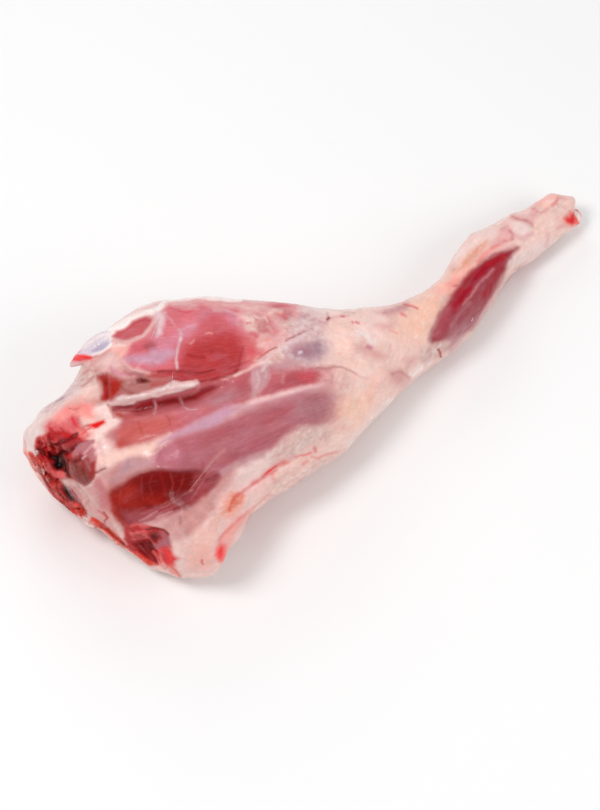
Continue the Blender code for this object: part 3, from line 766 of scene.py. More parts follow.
END_MARKS = (
    patch(Hue.ROSE_SKIN, (98, 476), (108, 468), (120, 460), (132, 456), (148, 457), (160, 462), (154, 468),
        (140, 472), (128, 480), (112, 488), (104, 494), (104, 508), (112, 520), (110, 530), (98, 510),
        (92, 496), edge=6),
    patch(Hue.DUSTY_MAUVE, (120, 463), (130, 457), (146, 458), (158, 463), (148, 467), (138, 471), (126, 476),
        (112, 484), (108, 482), (116, 472), edge=5),
    line(Hue.BLUE_GREY, 1.8, (128, 461), (128, 466), (124, 470), edge=4, strength=0.6),
    patch(Hue.PINK_SKIN, (96, 482), (100, 474), (108, 474), (107, 488), (103, 500), (104, 512), (96, 504),
        edge=5, strength=0.7),
    line(Hue.ROSE_MUSCLE, 2.2, (99, 480), (102, 486), (100, 492), edge=5, strength=0.5),
    patch(Hue.RUST, (103, 493), (112, 489), (120, 500), (116, 516), (108, 514), (103, 503), edge=7,
        strength=0.6),
    patch(Hue.PATCH_RED, (109, 494), (113, 489), (122, 484), (130, 478), (140, 472), (150, 469), (165, 469),
        (180, 470), (200, 468), (212, 472), (221, 474), (222, 478), (214, 488), (204, 498), (195, 506),
        (186, 512), (175, 512), (160, 513), (148, 516), (140, 521), (130, 526), (124, 526), (118, 518),
        (113, 508), edge=3, lift=-0.8),
    patch(Hue.BRICK, (109, 496), (118, 487), (130, 482), (137, 487), (135, 498), (124, 508), (115, 507),
        edge=9),
    patch(Hue.WINE, (138, 485), (148, 476), (162, 474), (196, 472), (200, 482), (190, 499), (172, 502),
        (164, 492), (148, 492), edge=9, strength=0.55),
    patch(Hue.BRICK, (122, 501), (140, 496), (162, 496), (167, 505), (150, 508), (126, 509), edge=8,
        strength=0.6),
    line(Hue.WINE, 1.4, (146, 505), (158, 507), (168, 505), edge=3, strength=0.6),
    patch(Hue.RED_MAUVE, (122, 513), (140, 509), (160, 507), (178, 504), (170, 513), (150, 519), (136, 523),
        (127, 522), edge=5, strength=0.75),
    patch(Hue.RED_MAUVE, (196, 476), (210, 473), (221, 476), (214, 487), (204, 498), (192, 506), (188, 500),
        (198, 490), edge=7, strength=0.75),
    line(Hue.WINE, 2, (206, 480), (214, 478), (218, 475), edge=4, strength=0.5),
    line(Hue.DARK_RED, 1.6, (196, 500), (204, 492), (212, 484), edge=4, strength=0.5),
    line(Hue.PINK_SKIN, 0.6, (150, 523), (160, 516), (172, 511), edge=2.2, strength=0.6, lift=0.3),
    line(Hue.PINK_SKIN, 0.6, (140, 521), (150, 515), (158, 511), edge=2.2, strength=0.5, lift=0.3),
    line(Hue.PINK_SKIN, 0.6, (160, 524), (170, 518), (182, 513), edge=2.2, strength=0.6, lift=0.3),
    line(Hue.DARK_RED, 1, (138, 523), (148, 520), (156, 518), edge=3, strength=0.5),
    line(Hue.BROWN_ROSE, 1, (126, 479), (138, 472), (150, 468), (162, 466), (174, 466), edge=2.5,
        strength=0.8),
    line(Hue.BRICK, 0.8, (160, 472), (163, 480), (164, 492), edge=3, strength=0.35),
    patch(Hue.BRICK, (112, 505), (118, 510), (124, 520), (132, 530), (134, 541), (126, 537), (118, 524),
        (113, 514), strength=0.9),
    patch(Hue.ROSE_SKIN, (162, 528), (168, 519), (180, 512), (196, 506), (208, 496), (222, 478), (236, 466),
        (232, 482), (214, 504), (196, 522), (180, 538), (168, 540), edge=6, strength=0.85),
    patch(Hue.DUSTY_FAT, (168, 530), (176, 520), (190, 516), (206, 504), (222, 486), (236, 470), (234, 482),
        (216, 506), (196, 526), (182, 542), (170, 544), edge=6, strength=0.8),
    line(Hue.ROSE_SKIN, 5, (190, 532), (200, 520), (212, 506), edge=7, strength=0.8),
    line(Hue.ROSE_SKIN, 2.2, (182, 520), (194, 510), (204, 499), edge=4, strength=0.6),
    line(Hue.BROWN_ROSE, 1.2, (180, 517), (180, 524), edge=2.5, strength=0.7),
    patch(Hue.PALE_PINK, (182, 550), (196, 532), (212, 514), (226, 494), (240, 474), (262, 462), (280, 458),
        (270, 480), (248, 504), (236, 526), (228, 556), (206, 576), (176, 574), edge=9),
    patch(Hue.PEACH_FAT, (206, 532), (216, 514), (228, 510), (222, 528), (214, 546), (208, 562), (190, 568),
        (180, 562), (190, 545), edge=12, strength=0.9),
    line(Hue.BEIGE_FAT, 1.2, (205, 512), (210, 515), (215, 514), edge=2.5, strength=0.6),
    line(Hue.ROSE_SKIN, 4, (188, 532), (198, 520), (210, 508), edge=7, strength=0.6),
    patch(Hue.PALE_SALMON, (192, 566), (196, 554), (208, 550), (212, 560), (204, 570), edge=8, strength=0.8),
    patch(Hue.STAIN, (222, 513), (227, 500), (233, 492), (242, 494), (240, 506), (232, 515), edge=7),
    line(Hue.BURNT_RED, 1.3, (229, 510), (232, 504), (235, 498), (240, 493), edge=3, strength=0.85),
    line(Hue.DEEP_SALMON, 1.3, (239, 495), (246, 489), (252, 484), edge=3, strength=0.7),
    line(Hue.STAIN, 1.5, (241, 502), (243, 496), edge=3, strength=0.8),
    line(Hue.PINK_WHITE, 3.5, (176, 545), (176, 558), (182, 566), edge=6, strength=0.6),
    line(Hue.BURNT_RED, 0.9, (202, 560), (203, 564), edge=2.5, strength=0.9),
    patch(Hue.SALMON, (214, 548), (218, 541), (224, 533), (232, 524), (240, 516), (248, 510), (256, 506),
        (249, 516), (243, 525), (236, 536), (230, 548), (226, 558), (220, 564), (215, 557), edge=2.5,
        strength=0.65),
    line(Hue.DEEP_SALMON, 1.4, (219, 540), (230, 527), (240, 518), (248, 511), edge=3, strength=0.6),
    line(Hue.PALE_PINK, 3, (228, 560), (236, 546), (243, 530), edge=4, strength=0.7),
    patch(Hue.BRIGHT_RED, (217, 550), (221, 544), (226, 545), (226, 553), (223, 561), (219, 561), (216, 556),
        edge=3.5),
    line(Hue.DEEP_SALMON, 1, (252, 508), (262, 500), (270, 494), edge=3, strength=0.5),
    patch(Hue.PINK_WHITE, (238, 470), (252, 460), (268, 452), (278, 448), (272, 460), (268, 470), (258, 476),
        (246, 484), (238, 482), edge=6),
    patch(Hue.GREY_BEIGE, (266, 457), (276, 446), (290, 435), (300, 425), (316, 424), (332, 430), (328, 441),
        (312, 447), (296, 455), (284, 461), (272, 462), edge=6, strength=0.7),
    line(Hue.GREY_BEIGE, 2, (286, 460), (296, 452), (302, 444), edge=4, strength=0.7),
    line(Hue.GREY_BEIGE, 1.6, (300, 446), (306, 438), (314, 437), edge=4, strength=0.8),
    line(Hue.ROSE_SKIN, 1.6, (246, 466), (252, 464), edge=3, strength=0.35),
    patch(Hue.BEIGE_FAT, (262, 502), (272, 482), (290, 470), (312, 462), (340, 448), (354, 440), (352, 450),
        (320, 470), (300, 484), (280, 498), (264, 510), edge=8, strength=0.8),
    line(Hue.DEEP_SALMON, 2, (262, 477), (272, 468), (280, 464), (288, 461), edge=4, strength=0.85),
    line(Hue.DEEP_SALMON, 1.6, (254, 483), (262, 478), (270, 474), (276, 470), edge=3, strength=0.6),
    line(Hue.DEEP_SALMON, 1.8, (252, 483), (256, 481), edge=4, strength=0.6),
    line(Hue.PINK_SKIN, 2.4, (288, 459), (295, 457), edge=4),
    line(Hue.DEEP_SALMON, 1.6, (272, 474), (274, 481), edge=4, strength=0.4),
    line(Hue.DEEP_SALMON, 1.6, (315, 448), (316, 451), edge=3, strength=0.8),
    line(Hue.PINK_SKIN, 1.4, (304, 455), (311, 452), edge=3),
    line(Hue.DEEP_SALMON, 1.3, (303, 464), (308, 460), edge=3, strength=0.6),
    line(Hue.DEEP_SALMON, 0.9, (312, 456), (318, 457), (326, 454), (338, 452), edge=2.5, strength=0.7),
    line(Hue.BROWN_ROSE, 0.9, (258, 512), (264, 507), (273, 501), (287, 492), (300, 481), (313, 474),
        strength=0.45),
    patch(Hue.SALMON, (167, 566), (173, 564), (179, 571), (181, 577), (174, 575), (169, 571), edge=2.5),
    line(Hue.BURNT_RED, 0.9, (171, 566), (176, 571), (180, 577), edge=2.5, strength=0.8),
    line(Hue.BURNT_RED, 1.4, (234, 507), (238, 503), edge=4, strength=0.55),
)

FAN_MARKS = (
    *(
        line(Hue.ROSE_SKIN, 0.3, start, middle, end, edge=1.6, strength=0.42)
        for start, middle, end in (
            ((214, 462), (204, 480), (190, 500)), ((206, 462), (200, 478), (190, 492)),
            ((192, 490), (172, 503), (148, 514)), ((184, 502), (164, 511), (144, 520)),
            ((176, 498), (158, 507), (140, 513)), ((192, 503), (178, 511), (162, 521)),
        )
    ),
    *(
        line(Hue.RUST, 0.3, start, middle, end, edge=1.8, strength=0.35)
        for start, middle, end in (
            ((152, 474), (150, 484), (152, 496)), ((170, 472), (173, 482), (170, 494)),
            ((184, 472), (182, 484), (176, 496)), ((142, 476), (141, 488), (143, 500)),
            ((120, 490), (118, 500), (122, 510)), ((196, 474), (194, 484), (188, 494)),
        )
    ),
)

KNEE_MARKS = (
    patch(Hue.PEACH_CREAM, (326, 318), (345, 316), (360, 330), (356, 346), (345, 354), (330, 352), edge=14),
    patch(Hue.PINK_WHITE, (356, 314), (380, 310), (394, 316), (390, 330), (380, 340), (362, 336), edge=12,
        strength=0.8),
    line(Hue.WHITE_FAT, 3, (358, 331), (366, 335), (371, 341), edge=6, strength=0.7),
    patch(Hue.PEACH_CREAM, (350, 360), (364, 358), (376, 366), (370, 384), (360, 392), (348, 380), edge=12),
    patch(Hue.APRICOT, (400, 320), (420, 298), (436, 288), (446, 290), (442, 308), (434, 324), (428, 340),
        (412, 338), (398, 330), edge=12),
    patch(Hue.BEIGE_FAT, (332, 374), (344, 373), (356, 382), (354, 394), (342, 398), (336, 388), edge=10,
        strength=0.7),
    patch(Hue.PEACH_FAT, (362, 404), (372, 384), (386, 372), (392, 382), (386, 396), (374, 404), edge=12,
        strength=0.75),
    patch(Hue.APRICOT, (342, 402), (358, 394), (372, 400), (366, 416), (350, 424), (340, 420), edge=12),
    line(Hue.WHITE_FAT, 4, (352, 446), (372, 424), (390, 402), edge=8, strength=0.6),
    patch(Hue.DUSTY_FAT, (354, 345), (361, 342), (370, 346), (377, 350), (386, 357), (378, 360), (366, 355),
        (356, 351), edge=6, strength=0.85),
    line(Hue.LAVENDER_PINK, 1.8, (368, 347), (371, 348), edge=3),
    patch(Hue.DUSTY_FAT, (378, 313), (388, 308), (398, 304), (408, 301), (410, 310), (400, 315), (390, 317),
        edge=5),
    line(Hue.DUSTY_MAUVE, 2.2, (386, 312), (398, 309), (406, 306), edge=4, strength=0.7),
    line(Hue.ROSE_RED, 0.9, (404, 304), (410, 306), (417, 309), strength=0.85),
    line(Hue.DEEP_SALMON, 1, (401, 314), (406, 316), strength=0.8),
    patch(Hue.DUSTY_FAT, (375, 325), (386, 323), (395, 321), (393, 328), (384, 330), edge=5, strength=0.8),
    line(Hue.SALMON, 0.9, (389, 330), (397, 333), strength=0.7),
    line(Hue.PINK_SKIN, 1.6, (330, 318), (340, 317), (348, 315), edge=3),
    line(Hue.ROSE_RED, 1, (341, 316), (344, 316), strength=0.8),
    line(Hue.ROSE_RED, 0.8, (352, 322), (353, 323), strength=0.8),
    line(Hue.ROSE_RED, 0.8, (356, 322), (359, 323), strength=0.8),
    line(Hue.GREY_BEIGE, 1.4, (342, 312), (352, 313), (360, 311), edge=3, strength=0.7),
    patch(Hue.DUSTY_FAT, (388, 370), (398, 369), (406, 371), (411, 377), (408, 382), (400, 387), (394, 384),
        (390, 377), edge=5),
    line(Hue.ROSE_SKIN, 1.4, (392, 374), (401, 372), (408, 377), edge=3, strength=0.8),
    patch(Hue.DUSTY_FAT, (404, 361), (410, 357), (417, 358), (414, 364), (408, 368), edge=5, strength=0.8),
    line(Hue.WHITE_FAT, 2.5, (412, 375), (421, 368), (430, 361), edge=4, strength=0.8),
    line(Hue.PINK_SKIN, 1, (420, 342), (421, 352), edge=3, strength=0.6),
    patch(Hue.COOL_WHITE, (298, 308), (306, 305), (318, 307), (330, 308), (330, 314), (318, 314), (306, 314)),
    patch(Hue.GREY_LILAC, (290, 332), (296, 320), (300, 312), (312, 311), (323, 318), (326, 330), (318, 338),
        (300, 342), (286, 348), edge=7, strength=0.9),
    line(Hue.DUSTY_MAUVE, 2.4, (302, 316), (307, 315), edge=5, strength=0.9),
    line(Hue.FILM_PINK, 1.4, (320, 321), (325, 323), (329, 319), (327, 313), edge=3),
    line(Hue.DARK_RED, 1.3, (327, 319), (328, 318)),
    patch(Hue.GREY_LILAC, (286, 350), (296, 344), (308, 340), (320, 336), (330, 344), (328, 356), (318, 364),
        (300, 366), (286, 362), edge=8),
    patch(Hue.BLUE_GREY, (288, 352), (296, 346), (308, 343), (319, 340), (325, 347), (322, 357), (306, 361),
        (294, 359), edge=8),
    patch(Hue.RED_MAUVE, (292, 351), (300, 345), (308, 347), (306, 352), (298, 351), (294, 354), edge=5,
        strength=0.45),
    line(Hue.CARTILAGE, 1.3, (299, 353), (301, 352), edge=2.5, strength=0.9, lift=0.5),
    line(Hue.CARTILAGE, 1.1, (290, 358), (292, 357), edge=2.5, strength=0.5, lift=0.3),
    line(Hue.CARTILAGE, 0.8, (286, 352), (287, 347), edge=2.5, strength=0.6),
    patch(Hue.DUSTY_MAUVE, (268, 368), (276, 362), (288, 360), (300, 362), (296, 367), (280, 370), edge=5),
    line(Hue.GREY_LILAC, 1.1, (262, 371), (266, 366), (271, 362), edge=2.5),
    line(Hue.BROWN_ROSE, 0.8, (316, 368), (326, 369), (334, 367), (342, 367), (350, 370), (357, 374),
        edge=2.2, strength=0.75, lift=-0.6),
    line(Hue.PINK_SKIN, 0.9, (355, 373), (362, 377), (368, 378), strength=0.7, lift=-0.3),
    patch(Hue.PEACH_FAT, (330, 424), (340, 420), (348, 424), (344, 432), (336, 435), edge=5, strength=0.6),
    line(Hue.TAN_FAT, 0.9, (338, 433), (343, 429), (345, 424), strength=0.6),
    patch(Hue.GREY_BEIGE, (426, 347), (434, 342), (442, 341), (450, 344), (446, 352), (440, 360), (430, 360),
        (424, 366), (420, 358)),
    patch(Hue.DUSTY_MAUVE, (450, 340), (458, 335), (464, 336), (456, 346), (450, 353), (446, 350)),
    line(Hue.DEEP_BLOOD, 1.1, (438, 350), (440, 352), (441, 357)),
    line(Hue.BLUE_GREY, 3, (306, 346), (316, 344), edge=6, strength=0.7),
)

SHANK_MARKS = (
    patch(Hue.PINK_WHITE, (464, 248), (468, 234), (480, 229), (497, 225), (501, 232), (492, 242), (484, 244),
        (474, 244), (464, 254), (454, 264), (452, 260), edge=5),
    patch(Hue.TAN_FAT, (460, 266), (468, 254), (477, 246), (487, 240), (489, 244), (482, 253), (474, 261),
        (464, 270), (454, 276), (451, 270)),
    line(Hue.TAN_FAT, 1.9, (466, 262), (475, 253), (481, 248), (485, 243), edge=4),
    line(Hue.STAIN, 1.4, (475, 252), (479, 249), edge=3, strength=0.9),
    patch(Hue.PALE_SALMON, (432, 292), (442, 284), (452, 277), (463, 270), (472, 265), (478, 262), (476, 269),
        (465, 280), (456, 289), (446, 296), edge=5),
    line(Hue.SALMON, 2.2, (478, 262), (484, 256), (492, 249), (498, 246), edge=3.5, strength=0.9),
    line(Hue.SALMON, 3, (449, 284), (456, 280), edge=6, strength=0.6),
    line(Hue.DEEP_SALMON, 1.2, (453, 286), (456, 285), edge=2.5, strength=0.8),
    patch(Hue.PINK_SKIN, (488, 256), (496, 250), (506, 245), (514, 243), (517, 247), (504, 251), (494, 255),
        (486, 261), strength=0.8),
    patch(Hue.PINK_SKIN, (490, 247), (496, 236), (502, 228), (509, 225), (514, 232), (509, 240), (500, 245),
        edge=5),
    line(Hue.DEEP_SALMON, 1, (492, 249), (500, 244), (506, 241), edge=2.5, strength=0.5),
    line(Hue.VEIN, 1, (502, 229), (505, 227), (508, 225), edge=4, strength=0.6),
    line(Hue.VEIN, 1.2, (510, 230), (513, 234), (512, 239), edge=4, strength=0.8),
    line(Hue.VEIN, 1, (504, 241), (508, 241), (512, 239), edge=4, strength=0.4),
    patch(Hue.COOL_WHITE, (514, 258), (524, 246), (546, 240), (556, 240), (546, 252), (530, 264), (514, 274),
        edge=6, strength=0.8),
    patch(Hue.PALE_PINK, (506, 224), (518, 212), (536, 202), (552, 194), (560, 192), (562, 198), (548, 202),
        (534, 210), (522, 218), (512, 226)),
    patch(Hue.PINK_SKIN, (526, 218), (532, 208), (538, 206), (540, 213), (532, 222)),
    line(Hue.DEEP_SALMON, 1.1, (533, 209), (536, 208), (538, 212), edge=2.5, strength=0.7),
    patch(Hue.COOL_WHITE, (513, 222), (518, 221), (526, 222), (531, 226), (530, 232), (524, 235), (516, 233),
        (513, 228), edge=3, strength=0.85, lift=0.8),
    line(Hue.FILM_PINK, 2, (514, 236), (524, 238), (532, 234), edge=4, strength=0.6),
    line(Hue.ROSE_SKIN, 2.2, (513, 217), (522, 219), (531, 223), edge=6, strength=0.6),
    line(Hue.VEIN, 0.7, (513, 217), (518, 219), (526, 220), edge=3, strength=0.75, lift=-0.4),
    line(Hue.VEIN, 0.6, (526, 220), (531, 223), (533, 227), edge=4, strength=0.45, lift=-0.4),
    line(Hue.PALE_SALMON, 2, (538, 203), (547, 199), (556, 196), edge=3, strength=0.8),
    patch(Hue.PEACH_FAT, (537, 206), (544, 203), (552, 203), (550, 207), (542, 210), (538, 210), edge=2.5,
        lift=-0.8),
    line(Hue.DEEP_SALMON, 0.9, (541, 213), (545, 211), (549, 208), edge=3.5, strength=0.7),
    line(Hue.DEEP_SALMON, 1.7, (552, 205), (556, 201), (558, 198), edge=2.5, strength=0.85),
    line(Hue.DEEP_SALMON, 1.6, (557, 203), (559, 207), edge=3, strength=0.6),
    line(Hue.PINK_SKIN, 1.8, (560, 197), (565, 198), edge=3),
    line(Hue.FILM_PINK, 1, (549, 233), (548, 240), (547, 246), edge=5, strength=0.7),
    line(Hue.PINK_SKIN, 2, (558, 228), (566, 225), edge=3),
    patch(Hue.SALMON, (562, 217), (570, 212), (580, 222), (576, 229), (568, 226), (562, 222), strength=0.7),
    patch(Hue.BLOOD, (564, 218), (571, 211), (579, 214), (582, 224), (574, 226), (567, 223), edge=2.5),
    patch(Hue.GREY_BEIGE, (514, 270), (521, 264), (527, 261), (523, 268), (517, 272), edge=3),
    patch(Hue.SHANK_MAUVE, (519, 247), (508, 250), (497, 254), (486, 259), (478, 265), (470, 272), (462, 282),
        (455, 290), (448, 300), (442, 308), (437, 317), (433, 327), (429, 338), (431, 345), (438, 343),
        (448, 340), (456, 336), (463, 335), (471, 330), (477, 322), (483, 313), (489, 304), (494, 294),
        (499, 285), (504, 275), (507, 266), (511, 257), edge=3),
    line(Hue.DUSTY_MAUVE, 2.2, (477, 325), (485, 314), (492, 302), (498, 290), (503, 278), edge=5,
        strength=0.75),
    patch(Hue.CRIMSON, (449, 301), (456, 290), (463, 282), (470, 273), (478, 266), (488, 259), (500, 254),
        (516, 248), (509, 257), (500, 263), (490, 270), (480, 280), (472, 290), (464, 302), (456, 313),
        (450, 311)),
    line(Hue.DEEP_BLOOD, 2.2, (488, 264), (497, 261), (504, 258), edge=5, strength=0.5),
    line(Hue.WINE, 2, (466, 285), (474, 278), edge=5, strength=0.35),
    line(Hue.CRIMSON, 4.5, (486, 294), (494, 282), (502, 270), edge=6, strength=0.8),
    line(Hue.RED_MAUVE, 3.2, (437, 334), (441, 320), (447, 310), edge=6, strength=0.7),
    line(Hue.GREY_MAUVE, 1.4, (430, 342), (434, 327), (440, 314), edge=3, strength=0.8),
    line(Hue.GREY_MAUVE, 1.6, (452, 326), (460, 314), (470, 303), edge=4, strength=0.6),
    patch(Hue.GREY_MAUVE, (446, 338), (456, 326), (468, 322), (477, 318), (472, 329), (462, 336), (452, 341),
        edge=6, strength=0.75),
    line(Hue.PINK_SKIN, 0.7, (494, 269), (484, 279), (474, 290), (463, 305), edge=3.5, strength=0.45),
    line(Hue.BEIGE_FAT, 1.6, (511, 262), (507, 276), (500, 288), (492, 305), (484, 318), edge=3,
        strength=0.6),
    patch(Hue.BEIGE_FAT, (552, 206), (562, 202), (570, 206), (570, 214), (558, 218), edge=6, strength=0.7),
)
